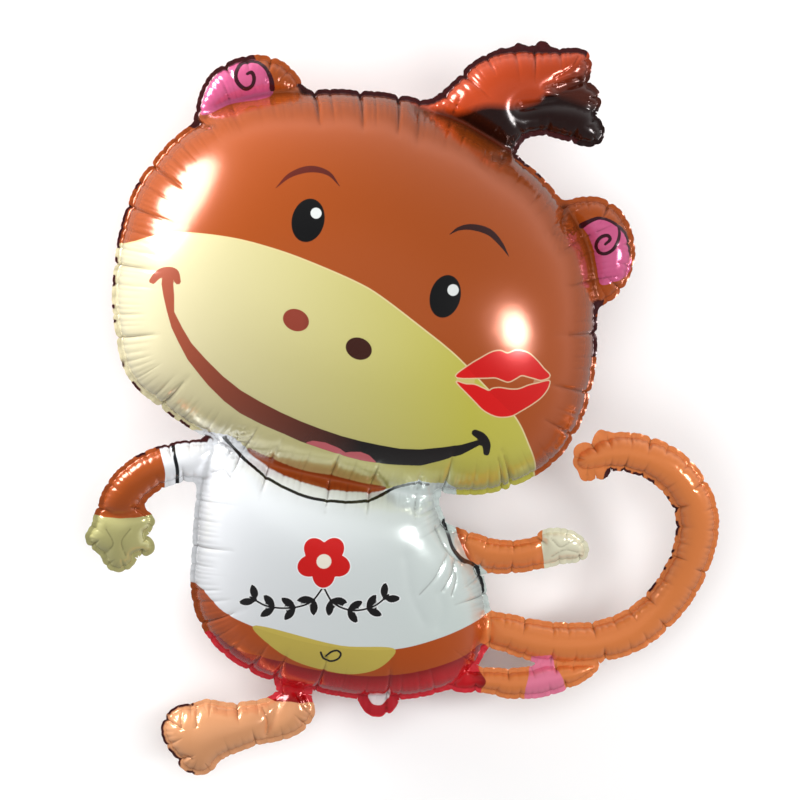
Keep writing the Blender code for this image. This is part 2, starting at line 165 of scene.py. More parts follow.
# Valleys along the weld, in drawn millimetres: the gap between them, then the depth and the reach of
# the fine ones, of the medium ones among them and of the long ones among those.
VALLEYS = {
    "head": (7.5, 0.62, 34, 1.3, 44, 3.2, 62),
    "torso": (7.0, 0.62, 32, 1.3, 40, 3.0, 58),
    "ear": (8.5, 0.9, 13, 1.6, 24, 2.6, 32),
    "hair": (9.0, 1.0, 20, 2.0, 34, 3.2, 52),
    "arm": (8.5, 0.75, 13, 1.5, 18, 2.4, 20),
    "hand": (8.5, 0.75, 9, 1.5, 15, 2.2, 18),
    "leg": (9.0, 0.75, 13, 1.7, 22, 2.6, 28),
    "tail": (9.0, 0.85, 14, 1.6, 19, 2.6, 21),
    "weld": (5.6, 0.62, 34, 1.0, 40, 2.2, 48),
}
GAP_SPREAD = 0.38
MEDIUM_EVERY = (14.0, 30.0)
LONG_EVERY = (42.0, 90.0)
# Half width of the sharp middle of the medium and of the long valleys.
CREASE_WIDTHS = (0.0, 2.1, 2.7)
# How dark the painted shade along the bottom line of each level is, and its half width.
CREASE_SHADES = (0.16, 0.28, 0.7)
CREASE_SHADE_WIDTH = 0.0007
# How dark the painted shade along the welds of the ears and the hair is.
WELD_SHADE = 0.85
# Places on the seam and on the neck that long valleys are known to start from.
KNOWN_VALLEYS = [
    (-107, 357), (-55, 361), (-12, 352), (-232, 328), (-290, 279), (118, 293), (178, 232), (-211, -36),
    (-282, 8), (206, 20), (190, -30), (120, -90), (40, -92), (-20, -335), (-150, -310),
]
KNOWN_NECK_VALLEYS = [(-160, -58), (-91, -76), (-45, -85), (8, -93)]

# The print, in drawn millimetres on the flat foil.
EYES = [((-123, 220), (18.0, 24.5)), ((30, 135), (17.4, 24.2))]
EYE_LEAN = 15.0
GLINTS = [((-114, 228), (6.1, 6.1)), ((39, 142), (6.5, 6.5))]
NOSTRILS = [((-137, 109), (14.9, 12.1)), ((-67, 77), (15.1, 12.1))]
NOSTRIL_TURN = -25.0
BROWS = [
    [(-158, 256, 0.3), (-142, 270, 2.6), (-119, 277, 3.7), (-99, 272, 2.4), (-87, 258, 0.3)],
    [(36, 204, 0.3), (46, 210, 2.0), (61, 212, 3.4), (82, 206, 3.8), (95, 193, 2.6), (104, 179, 0.3)],
]
MUZZLE_EDGE = [
    (-351, 187), (-324, 191), (-276, 204), (-212, 200), (-157, 186), (-107, 167), (-65, 148), (-48, 138),
    (1, 101), (43, 67), (79, 30), (113, -4), (130, -35), (143, -66), (146, -102),
]
MUZZLE_FOOT = [
    (140, -112), (40, -112), (-30, -100), (-150, -76), (-205, -34), (-240, -24), (-292, -12), (-345, 30),
    (-390, 60),
]
SMILE_INNER = [
    (-271, 158), (-272, 148), (-271, 135), (-271, 117), (-262, 99), (-252, 82), (-236, 64), (-217, 45),
    (-197, 29), (-175, 16), (-152, 4), (-130, -6), (-107, -15), (-84, -23), (-62, -29), (-39, -34),
    (-17, -38), (6, -39), (29, -37), (52, -34), (73, -28),
]
SMILE_OUTER = [
    (-284, 158), (-285, 148), (-283, 135), (-279, 117), (-274, 99), (-266, 82), (-256, 63), (-242, 45),
    (-233, 34), (-215, 16), (-197, 2), (-174, -10), (-151, -20), (-129, -30), (-106, -38), (-83, -46),
    (-61, -52), (-38, -56), (-15, -58), (8, -59), (31, -53), (53, -46), (73, -35),
]
SMILE_ENDS = [
    [(-295, 151, 3.6), (-289, 158, 4.6), (-281, 162, 5.0), (-271, 161, 4.8), (-267, 151, 3.4)],
    [(67, -20, 3.8), (75, -25, 5.0), (81, -34, 5.0), (82, -44, 3.6)],
]
TONGUE_TOP = [
    (-122, -31), (-115, -29), (-101, -31), (-87, -37), (-78, -43), (-72, -42), (-61, -42), (-51, -46),
    (-42, -55),
]
LIPS = [
    [
        (43, 45), (59, 58), (71, 65), (85, 72), (94, 73), (102, 70), (112, 73), (126, 70), (137, 61),
        (145, 52), (153, 43), (143, 39), (135, 41), (128, 43), (119, 45), (113, 42), (104, 38), (97, 40),
        (89, 43), (79, 43), (72, 43),
    ],
    [
        (44, 39), (54, 36), (65, 35), (74, 31), (82, 28), (85, 30), (93, 31), (106, 29), (116, 29),
        (128, 33), (138, 35), (153, 37), (152, 31), (144, 20), (133, 12), (119, 4), (109, -1), (95, -2),
        (85, 1), (75, 7), (66, 16), (55, 27), (47, 35),
    ],
]
EAR_PINKS = [
    [
        (-156, 361), (-157, 376), (-163, 390), (-174, 400), (-198, 419), (-235, 400), (-240, 373),
        (-237, 338), (-203, 350),
    ],
    [
        (198, 212), (204, 215), (219, 220), (240, 211), (250, 199), (256, 177), (257, 163), (250, 152),
        (235, 146), (220, 144), (215, 165), (210, 188), (203, 203),
    ],
]
EAR_LINES = [
    [
        (-156, 367, 3.0), (-157, 376, 2.6), (-163, 390, 2.2), (-174, 398, 1.8), (-189, 397, 2.0),
        (-195, 391, 2.2), (-198, 381, 2.4), (-194, 372, 2.4), (-186, 367, 2.4), (-179, 371, 2.2),
        (-177, 380, 2.2), (-180, 386, 2.2), (-185, 384, 1.6),
    ],
    [
        (240, 211, 1.6), (241, 203, 1.8), (239, 194, 2.0), (233, 184, 2.0), (223, 179, 2.0),
        (216, 182, 2.0), (214, 190, 2.0), (219, 198, 2.0), (227, 200, 2.0), (230, 196, 1.8),
        (224, 190, 1.6),
    ],
    [(198, 211, 3.4), (204, 215, 2.6), (219, 220, 1.8), (240, 211, 1.8), (250, 199, 1.8), (255, 177, 1.6)],
]
HAIR_SHADE = [
    (33, 341), (53, 338), (85, 348), (119, 347), (146, 353), (157, 361), (175, 368), (193, 378),
    (210, 388), (241, 389), (241, 287), (102, 267), (29, 327),
]
HAIR_TIPS = [
    (155, 367), (175, 377), (192, 394), (212, 403), (228, 384), (228, 348), (186, 354),
]
COLLAR = [
    (-213, -29), (-197, -45), (-179, -62), (-160, -76), (-140, -87), (-117, -96), (-92, -100), (-66, -102),
    (-44, -99), (-28, -93), (-16, -87), (1, -83), (20, -84),
]
NECK_GAP = [
    (-186, -41), (-158, -53), (-123, -66), (-87, -73), (-51, -82), (-27, -87), (-29, -90), (-64, -91),
    (-99, -86), (-133, -76), (-157, -65), (-186, -44),
]
SHIRT = [
    (-288, -25), (-285, -42), (-282, -55), (-279, -68), (-277, -96), (-262, -116), (-261, -196),
    (-241, -202), (-212, -231), (-179, -247), (-138, -260), (-78, -272), (-15, -274), (38, -262),
    (81, -246), (101, -237), (108, -220), (98, -207), (95, -191), (71, -173), (66, -163), (59, -145),
    (55, -122), (54, -90), (20, -81), (0, -80), (-17, -86), (-29, -89), (-65, -90), (-99, -85),
    (-133, -75), (-157, -64), (-186, -43), (-205, -29), (-230, -23),
]
SLEEVE_STRIPES = [
    [(-271, -19), (-270, -31), (-269, -46), (-265, -66), (-264, -90)],
    [(43, -128), (46, -141), (51, -158), (62, -171), (81, -183), (90, -203), (92, -214)],
]
BELLY = [
    (-179, -247), (-142, -282), (-102, -298), (-63, -304), (-32, -296), (-15, -275), (-78, -269),
]
NAVEL = [
    (-101, -277), (-98, -284), (-90, -288), (-81, -285), (-78, -279), (-82, -275), (-88, -276),
    (-93, -280),
]
SHORTS = [
    (-227, -258), (-198, -276), (-148, -289), (-102, -300), (-36, -307), (13, -302), (65, -287),
    (90, -274), (99, -286), (87, -302), (95, -319), (90, -331), (88, -347), (30, -352), (-28, -365),
    (-88, -350), (-106, -342), (-121, -342), (-133, -340), (-150, -340), (-165, -332), (-198, -323),
    (-248, -292),
]
LEG_PATCH = [
    (149, -291), (145, -312), (141, -327), (141, -354), (198, -353), (185, -317), (170, -289),
]
HANDS = [
    [(-384, -113), (-349, -121), (-330, -123), (-312, -122), (-286, -118), (-279, -204), (-381, -205)],
    [(158, -131), (156, -155), (159, -170), (162, -188), (248, -187), (251, -130)],
]
# A plain flower on the shirt, over a spray of leaves.
FLOWER = ((-100, -169), 31.0)
FLOWER_EYE = 8.5
PETAL_WAVE = 0.3
STEMS = [
    [(-100, -199), (-114, -217), (-137, -224), (-164, -222), (-182, -212)],
    [(-100, -199), (-88, -218), (-66, -227), (-41, -222), (-25, -209)],
]
LEAF_SIZE = (20.0, 9.0)
LEAF_LEAN = 42.0
LEAVES_A_SIDE = 4
# Where the welded rim is printed dark: middle, radius, and the beat and share of the dark dashes.
DARK_RIMS = [
    ((45, 372), 32, 0, 1), ((100, 412), 52, 0, 1), ((165, 418), 42, 0, 1), ((60, 310), 30, 0, 1),
    ((150, 330), 50, 0, 1), ((-215, 385), 44, 0, 1), ((-242, 345), 22, 0, 1), ((-60, 362), 62, 0, 1),
    ((-120, 352), 22, 0, 1), ((10, 350), 40, 0, 1), ((150, 292), 34, 26, 0.6), ((198, 130), 28, 0, 1),
    ((210, 84), 24, 0, 1), ((-312, 235), 60, 36, 0.25), ((-335, 130), 80, 30, 0.3),
    ((-275, 10), 72, 40, 0.5), ((-262, -395), 36, 17, 0.62),
    ((-278, -365), 26, 15, 0.64), ((-258, -350), 16, 13, 0.7),
    ((255, -85), 30, 24, 0.55), ((305, -135), 34, 24, 0.55), ((300, -205), 34, 28, 0.5),
]
# The dashes start this far out from the weld, and drift along it in three slow waves.
DASH_STARTS = 2.4
DASH_DRIFT = ((2.4, 29.0), (1.6, 11.0))
DASH_SHARE_DRIFT = (0.45, 47.0)
HAIR_AREA = [(8, 346), (60, 328), (120, 292), (140, 296), (240, 290), (240, 440), (0, 440), (0, 352)]
# The tail and the right arm, whose fur is made lighter as painted light for their brighter reflections.
LIT_LIMB_AREA = [
    (182, -84), (190, -38), (205, -9), (225, 8), (387, -15), (387, -362), (84, -362), (84, -287),
    (95, -252), (92, -223), (77, -177), (60, -131), (75, -108),
]
FOOT_AREA = [
    (-150, -300), (-100, -322), (-96, -380), (-150, -398), (-230, -440), (-300, -405), (-300, -340),
    (-240, -325),
]
TAB_RING = (12.5, 24.5)
TAB_RING_RISE = 3.0

# The camera: its distance and direction, and the width in metres that its picture holds.
AIM_HEIGHT = 0.12
CAMERA_AWAY = 6.0
CAMERA_WAY = (-0.08, 0.055, 1.0)
SENSOR_WIDTH = 36.0
VIEW_WIDTH = 0.92
VIEW_SHIFT = (-0.008125, 0.01125)

# Rows of points beside the weld, in millimetres, and the pitch of the columns that cross them.
SEAM_ROWS = (
    0.0, 0.25, 0.9, 1.9, 3.2, 4.8, 6.6, 8.6, 10.7, 12.9, 15.2, 17.6, 20.0, 22.5, 25.2, 28.0, 31.0, 34.0,
)
RIM_ROWS = (-1.9, -3.7)
WELD_ROWS = (0.0, 1.2, 2.6, 4.2, 6.0, 8.0, 10.2, 12.6, 15.2, 18.0, 21.0, 24.0, 27.0, 30.0)
COLUMN_PITCH = 0.0018
FACE_PITCH = 0.0032
PRINT_PITCH = 0.0017
PRINT_OFFSETS = (-1.4, 0.0, 1.4)
# Rows along the long valleys: where they start, their pitch and their offsets, in metres.
LONG_ROWS_START = 0.0365
LONG_ROWS_PITCH = 0.0024
LONG_ROWS_OFFSETS = (-0.0018, 0.0, 0.0018)
# The least gap that new points keep from the points before them, in metres.
RIM_GAP = 0.0009
WELD_GAP = 0.0011
LONG_GAP = 0.0013
PRINT_GAP = 0.0008
FACE_GAP = 0.6 * FACE_PITCH
# The least gap between the seam or the rim's edge and the points inside it.
EDGE_GAP = 0.0012
PRINT_EDGE_GAP = 0.001


def smooth_curve(points, closed, pieces=8):
    """A centripetal Catmull-Rom curve through the points, in metres."""
    knots = np.array(points, float) * UNIT
    count = len(knots)
    if closed:
        around = np.vstack([knots[-1:], knots, knots[:2]])
    else:
        around = np.vstack([2 * knots[0] - knots[1], knots, 2 * knots[-1] - knots[-2]])
        count -= 1
    curve = []
    for a, b, c, d in zip(around[:count], around[1:], around[2:], around[3:]):
        t1 = np.linalg.norm((b - a)[:2]) ** 0.5
        t2 = t1 + np.linalg.norm((c - b)[:2]) ** 0.5
        t3 = t2 + np.linalg.norm((d - c)[:2]) ** 0.5
        for t in np.linspace(t1, t2, pieces, endpoint=False):
            ab = (t1 - t) / t1 * a + t / t1 * b
            bc = (t2 - t) / (t2 - t1) * b + (t - t1) / (t2 - t1) * c
            cd = (t3 - t) / (t3 - t2) * c + (t - t2) / (t3 - t2) * d
            near = (t2 - t) / t2 * ab + t / t2 * bc
            far = (t3 - t) / (t3 - t1) * bc + (t - t1) / (t3 - t1) * cd
            curve.append((t2 - t) / (t2 - t1) * near + (t - t1) / (t2 - t1) * far)
    if not closed:
        curve.append(knots[-1])
    return np.array(curve)


def line_distance(x, y, line, closed=False):
    """Distance to a polyline, less the radius that it carries as a third column."""
    best = np.full(x.shape, np.inf)
    ends = np.roll(line, -1, axis=0) if closed else line[1:]
    for a, b in zip(line, ends):
        run = b[:2] - a[:2]
        share = ((x - a[0]) * run[0] + (y - a[1]) * run[1]) / max(run @ run, 1e-18)
        share = np.clip(share, 0.0, 1.0)
        away = np.hypot(x - a[0] - share * run[0], y - a[1] - share * run[1])
        if line.shape[1] == 3:
            away = away - (a[2] + share * (b[2] - a[2]))
        best = np.minimum(best, away)
    return best


def loop_distance(x, y, loop):
    """Signed distance to a closed outline, negative inside it."""
    inside = np.zeros(x.shape, bool)
    for a, b in zip(loop, np.roll(loop, -1, axis=0)):
        if a[1] == b[1]:
            continue
        crosses = (a[1] > y) != (b[1] > y)
        inside ^= crosses & (x < a[0] + (y - a[1]) / (b[1] - a[1]) * (b[0] - a[0]))
    away = line_distance(x, y, loop, closed=True)
    return np.where(inside, -away, away)


def run_together(a, b, fillet):
    """Union of two distance fields with a fillet in the crotch between them."""
    near = np.maximum(fillet - np.abs(a - b), 0.0) / fillet
    return np.minimum(a, b) - near * near * fillet / 4


def ease(value, low, high):
    """A smooth step from 0 at low to 1 at high."""
    share = np.clip((value - low) / (high - low), 0.0, 1.0)
    return share * share * (3 - 2 * share)


class Sheet:
    """The flat seam on a grid: how far each point is from it, and the film that gives the bulge."""

    def __init__(self, step):
        self.step = step
        self.xs = np.arange(-0.47 * HEIGHT, 0.47 * HEIGHT, step)
        self.ys = np.arange(-0.53 * HEIGHT, 0.53 * HEIGHT, step)
        self.x, self.y = np.meshgrid(self.xs, self.ys)
        self.seam = self.join_limbs()
        self.rim = self.widen_rim()
        self.film = self.blow_up()
        self.rise, self.run = np.gradient(self.film, step)

    def near(self, line, reach):
        """The part of the grid round a line, so that small limbs cost little."""
        low = line[:, :2].min(axis=0) - reach
        high = line[:, :2].max(axis=0) + reach
        columns = slice(*np.searchsorted(self.xs, (low[0], high[0])))
        rows = slice(*np.searchsorted(self.ys, (low[1], high[1])))
        return rows, columns

    def add(self, field, line, distance, fillet=CROTCH_FILLET):
        """Runs one limb into the field."""
        part = self.near(line, 0.05 * HEIGHT)
        field[part] = run_together(field[part], distance(self.x[part], self.y[part], line), fillet)

    def join_limbs(self):
        """Signed distance to the seam round the whole figure."""
        field = np.full(self.x.shape, 0.2 * HEIGHT)
        for loop in (HEAD, TORSO, EAR_LEFT, EAR_RIGHT, HAIR, HAND_LEFT, HAND_RIGHT, LEG_LEFT):
            self.add(field, smooth_curve(loop, True), loop_distance)
        for tube in (ARM_LEFT, ARM_RIGHT, TAIL):
            self.add(field, smooth_curve(tube, False), line_distance)
        self.add(field, smooth_curve(LEG_RIGHT, True), loop_distance, 0.1 * CROTCH_FILLET)
        return field

    def widen_rim(self):
        """Signed distance to the outer edge of the welded rim."""
        field = self.seam - RIM_WIDTH
        teeth = np.array(HAIR_TEETH, float) * UNIT
        part = self.near(teeth, 0.02 * HEIGHT)
        field[part] = np.minimum(field[part], loop_distance(self.x[part], self.y[part], teeth))
        for x, y, radius in TAIL_BUMPS:
            field = np.minimum(field, np.hypot(self.x - x * UNIT, self.y - y * UNIT) - radius * UNIT)
        tab = np.array(TAB_CENTRE) * UNIT
        return run_together(field, np.hypot(self.x - tab[0], self.y - tab[1]) - TAB_RADIUS, 0.002)

    def blow_up(self):
        """Solves the film equation inside the seam by conjugate gradients."""
        pull = np.zeros(self.x.shape)
        for line, breadth, strength in CREASES.values():
            crease = smooth_curve(line, False)
            width = breadth * UNIT
            part = self.near(crease, 5 * width)
            away = line_distance(self.x[part], self.y[part], crease)
            pull[part] += strength / width ** 2 * np.exp(-(away / width) ** 2)
        inside = self.seam < 0
        inside[[0, -1], :] = False
        inside[:, [0, -1]] = False
        depth = np.where(inside, -self.seam, 0.0)
        weight = pull * self.step ** 2
        for axis, shift in ((0, 1), (0, -1), (1, 1), (1, -1)):
            beyond = np.roll(self.seam, shift, axis)
            share = depth / np.maximum(depth + np.maximum(beyond, 0.0), 1e-12)
            weight += np.where(beyond < 0, 1.0, 1.0 / np.clip(share, 0.05, 1.0))
        load = np.where(inside, self.step ** 2, 0.0)

        def stretch(film):
            pulled = weight * film
            pulled[1:-1, 1:-1] -= film[:-2, 1:-1] + film[2:, 1:-1] + film[1:-1, :-2] + film[1:-1, 2:]
            return np.where(inside, pulled, 0.0)

        film = np.zeros(self.x.shape)
        left = load - stretch(film)
        eased = np.where(inside, left / weight, 0.0)
        search = eased.copy()
        power = np.sum(left * eased)
        start = power
        for _ in range(3000):
            pulled = stretch(search)
            size = power / np.sum(search * pulled)
            film += size * search
            left -= size * pulled
            eased = np.where(inside, left / weight, 0.0)
            fresh = np.sum(left * eased)
            if fresh < 1e-10 * start:
                break
            search = eased + fresh / power * search
            power = fresh
        return film

    def read(self, field, points):
        """Cubic B-spline value of a field at points, which is smooth across the grid's lines."""
        u = (points[:, 0] - self.xs[0]) / self.step
        v = (points[:, 1] - self.ys[0]) / self.step
        i = np.clip(u.astype(int), 1, len(self.xs) - 3)
        j = np.clip(v.astype(int), 1, len(self.ys) - 3)
        u, v = u - i, v - j
        across = ((1 - u) ** 3, 3 * u ** 3 - 6 * u ** 2 + 4, 3 * (u - u ** 3 + u ** 2) + 1, u ** 3)
        up = ((1 - v) ** 3, 3 * v ** 3 - 6 * v ** 2 + 4, 3 * (v - v ** 3 + v ** 2) + 1, v ** 3)
        total = np.zeros(len(points))
        for row, high in enumerate(up):
            for column, wide in enumerate(across):
                total += high * wide * field[j + row - 1, i + column - 1]
        return total / 36

    def contours(self, field):
        """Closed lines where a field crosses zero, by marching squares, with the inside on their left."""
        joins = {}
        places = {}
        below = field < 0
        square = below[:-1, :-1] * 1 + below[:-1, 1:] * 2 + below[1:, 1:] * 4 + below[1:, :-1] * 8
        cases = {
            1: [(0, 3)], 2: [(1, 0)], 3: [(1, 3)], 4: [(2, 1)], 5: [(0, 3), (2, 1)], 6: [(2, 0)],
            7: [(2, 3)], 8: [(3, 2)], 9: [(0, 2)], 10: [(1, 0), (3, 2)], 11: [(1, 2)], 12: [(3, 1)],
            13: [(0, 1)], 14: [(3, 0)],
        }
        for j, i in zip(*np.nonzero((square > 0) & (square < 15))):
            sides = (
                ((j, i), (j, i + 1)), ((j, i + 1), (j + 1, i + 1)),
                ((j + 1, i), (j + 1, i + 1)), ((j, i), (j + 1, i)),
            )
            for start, end in cases[square[j, i]]:
                joins[sides[start]] = sides[end]
                for side in (sides[start], sides[end]):
                    (ja, ia), (jb, ib) = side
                    share = field[ja, ia] / (field[ja, ia] - field[jb, ib])
                    x = self.xs[ia] + share * (self.xs[ib] - self.xs[ia])
                    places[side] = (x, self.ys[ja] + share * (self.ys[jb] - self.ys[ja]))
        loops = []
        while joins:
            side, following = joins.popitem()
            chain = [side]
            while following != side:
                chain.append(following)
                following = joins.pop(following)
            loops.append(np.array([places[key] for key in chain]))
        return loops


def even_line(line, closed, pitch):
    """The same line with points at an even pitch, and its length."""
    if closed:
        line = np.vstack([line, line[:1]])
    places = np.append(0.0, np.cumsum(np.linalg.norm(np.diff(line, axis=0), axis=1)))
    count = max(int(round(places[-1] / pitch)), 8)
    wanted = np.linspace(0.0, places[-1], count, endpoint=False)
    if not closed:
        wanted = np.linspace(0.0, places[-1], count + 1)
    even = np.stack([np.interp(wanted, places, line[:, k]) for k in (0, 1)], axis=1)
    if closed:
        for _ in range(8):
            even = (np.roll(even, 1, axis=0) + 2 * even + np.roll(even, -1, axis=0)) / 4
    return even, places[-1]


def tree_of(points):
    """A search tree over flat points."""
    tree = KDTree(len(points))
    for number, (x, y) in enumerate(points):
        tree.insert((x, y, 0.0), number)
    tree.balance()
    return tree


class Weld:
    """Weld lines, sampled so finely that the nearest sample is the nearest place on them."""

    PITCH = 0.0005
    BETWEEN = 1.0

    def __init__(self, lines, closed):
        self.closed = closed
        self.spans = []
        places, runs, along = [], [], []
        start = 0.0
        for line in lines:
            even, length = even_line(line, closed, self.PITCH)
            if closed:
                run = np.roll(even, -1, axis=0) - np.roll(even, 1, axis=0)
            else:
                run = np.gradient(even, axis=0)
            places.append(even)
            runs.append(run / np.linalg.norm(run, axis=1)[:, None])
            along.append(start + np.linspace(0.0, length, len(even), endpoint=not closed))
            self.spans.append((start, length))
            start += length + self.BETWEEN
        self.places, self.runs, self.along = np.vstack(places), np.vstack(runs), np.concatenate(along)
        self.left = np.column_stack([-self.runs[:, 1], self.runs[:, 0]])
        self.tree = tree_of(self.places)

    def nearest(self, points):
        """For each point: the nearest sample, the place along the line and the distance."""
        found = [self.tree.find((x, y, 0.0)) for x, y in points]
        index = np.array([hit[1] for hit in found])
        away = points - self.places[index]
        along = self.along[index] + np.sum(away * self.runs[index], axis=1)
        return index, along, np.array([hit[2] for hit in found])

    def at(self, along):
        """The sample at places along the lines."""
        return np.clip(np.searchsorted(self.along, along - self.PITCH / 2), 0, len(self.along) - 1)


def name_limbs(points):
    """The limb whose outline runs through each point of the seam."""
    loops = {
        "head": [HEAD], "torso": [TORSO], "ear": [EAR_LEFT, EAR_RIGHT], "hair": [HAIR],
        "hand": [HAND_LEFT, HAND_RIGHT], "leg": [LEG_LEFT, LEG_RIGHT],
    }
    tubes = {"arm": [ARM_LEFT, ARM_RIGHT], "tail": [TAIL]}
    names, fields = [], []
    for name, lines in loops.items():
        for line in lines:
            names.append(name)
            fields.append(loop_distance(points[:, 0], points[:, 1], smooth_curve(line, True)))
    for name, lines in tubes.items():
        for line in lines:
            names.append(name)
            fields.append(line_distance(points[:, 0], points[:, 1], smooth_curve(line, False)))
    return np.array(names)[np.argmin(fields, axis=0)]


def room_inside(weld):
    """How far each sample can look in from the weld before another part of it is nearer."""
    probe = np.arange(0, len(weld.places), 8)
    room = np.full(len(probe), 0.002)
    open_still = np.ones(len(probe), bool)
    for depth in np.arange(0.003, 0.126, 0.003):
        rows = np.nonzero(open_still)[0]
        if not len(rows):
            break
        points = weld.places[probe[rows]] + depth * weld.left[probe[rows]]
        _, _, away = weld.nearest(points)
        held = away > 0.94 * depth
        room[rows[held]] = depth
        open_still[rows[~held]] = False
    return np.interp(np.arange(len(weld.places)), probe, room)


def draw_valleys(weld, limbs, room, known, dice):
    """Three levels of valleys: all of them, the medium and long ones, and the long ones."""
    _, known, _ = weld.nearest(np.array(known, float) * UNIT)
    levels = [[], [], []]
    for start, length in weld.spans:
        row = [[], [], []]
        along = start
        medium = long_run = 0.0
        next_medium, next_long = 0.5 * MEDIUM_EVERY[0], 0.5 * LONG_EVERY[0]
        forced = False
        while True:
            sample = weld.at(along)
            shape = VALLEYS[limbs[sample]]
            rank = 1
            if forced or medium >= next_medium:
                rank = 2
                medium = 0.0
                next_medium = dice.uniform(*MEDIUM_EVERY)
                if forced or long_run >= next_long:
                    rank = 3
                    long_run = 0.0
                    next_long = dice.uniform(*LONG_EVERY)
            for level in range(rank):
                depth, reach = shape[1 + 2 * level: 3 + 2 * level]
                force = 1.15 if forced else dice.uniform(0.5, 1.2)
                reaches = dice.uniform(0.65, 1.15, 2) * reach * UNIT
                reaches = np.maximum(np.minimum(reaches, 0.95 * room[sample]), 0.003)
                row[level].append((along, force * depth * UNIT, *reaches))
            gap = shape[0] * dice.uniform(1 - GAP_SPREAD, 1 + GAP_SPREAD)
            ahead = known[(known > along + 0.4 * gap * UNIT) & (known < along + 1.7 * gap * UNIT)]
            forced = len(ahead) > 0
            gap = (ahead[0] - along) / UNIT if forced else gap
            along += gap * UNIT
            medium += gap
            long_run += gap
            if along > start + length - 0.45 * shape[0] * UNIT:
                break
        for level, valleys in enumerate(row):
            if not valleys:
                valleys = [(start, 0.0, 0.003, 0.003)]
            first, last = list(valleys[0]), list(valleys[-1])
            if weld.closed:
                before, after = [last[0] - length] + last[1:], [first[0] + length] + first[1:]
            else:
                before = [start - 0.01, 0.0, 0.003, 0.003]
                after = [start + length + 0.01, 0.0, 0.003, 0.003]
            levels[level] += [before, *valleys, after]
    return [np.array(level) for level in levels]


def drawn_in(levels, along, depth, side):
    """How far the valleys draw the foil in, round lobes between sharp lines, and where the painted shade
    along their bottom lines lies.
    """
    lost, line = np.zeros(len(along)), np.zeros(len(along))
    for level, width, shade in zip(levels, CREASE_WIDTHS, CREASE_SHADES):
        places = level[:, 0]
        after = np.clip(np.searchsorted(places, along), 1, len(places) - 1)
        before = after - 1
        share = np.clip((along - places[before]) / (places[after] - places[before]), 0.0, 1.0)
        near = np.where(share < 0.5, before, after)
        fade = np.maximum(1 - (depth / level[near, 2 + side]) ** 2, 0.0) ** 1.5
        round_part = 1 - np.sin(np.pi * share)
        if width:
            away = np.abs(along - places[near]) / (width * UNIT)
            round_part = 0.3 * round_part + 0.7 * np.exp(-away * np.sqrt(1 + away))
        lost += level[near, 1] * fade * round_part
        line += shade * fade * np.exp(-((along - places[near]) / CREASE_SHADE_WIDTH) ** 2)
    return lost, line


def clear_of(points, taken, gap):
    """The points that stay a gap away from those already taken, and from each other."""
    tree = tree_of(taken)
    cells = {}
    kept = []
    for number, (x, y) in enumerate(points):
        if tree.find((x, y, 0.0))[2] <= gap:
            continue
        i, j = int(x // gap), int(y // gap)
        around = [cells.get((i + di, j + dj), ()) for di in (-1, 0, 1) for dj in (-1, 0, 1)]
        if any((x - a) ** 2 + (y - b) ** 2 <= gap * gap for near in around for a, b in near):
            continue
        cells.setdefault((i, j), []).append((x, y))
        kept.append(number)
    return points[kept]


def petal_edge(turn):
    """How far the flower's edge is from its middle, at an angle in radians."""
    return FLOWER[1] * (1 - PETAL_WAVE + PETAL_WAVE * np.abs(np.cos(2.5 * (turn + np.pi / 2))))


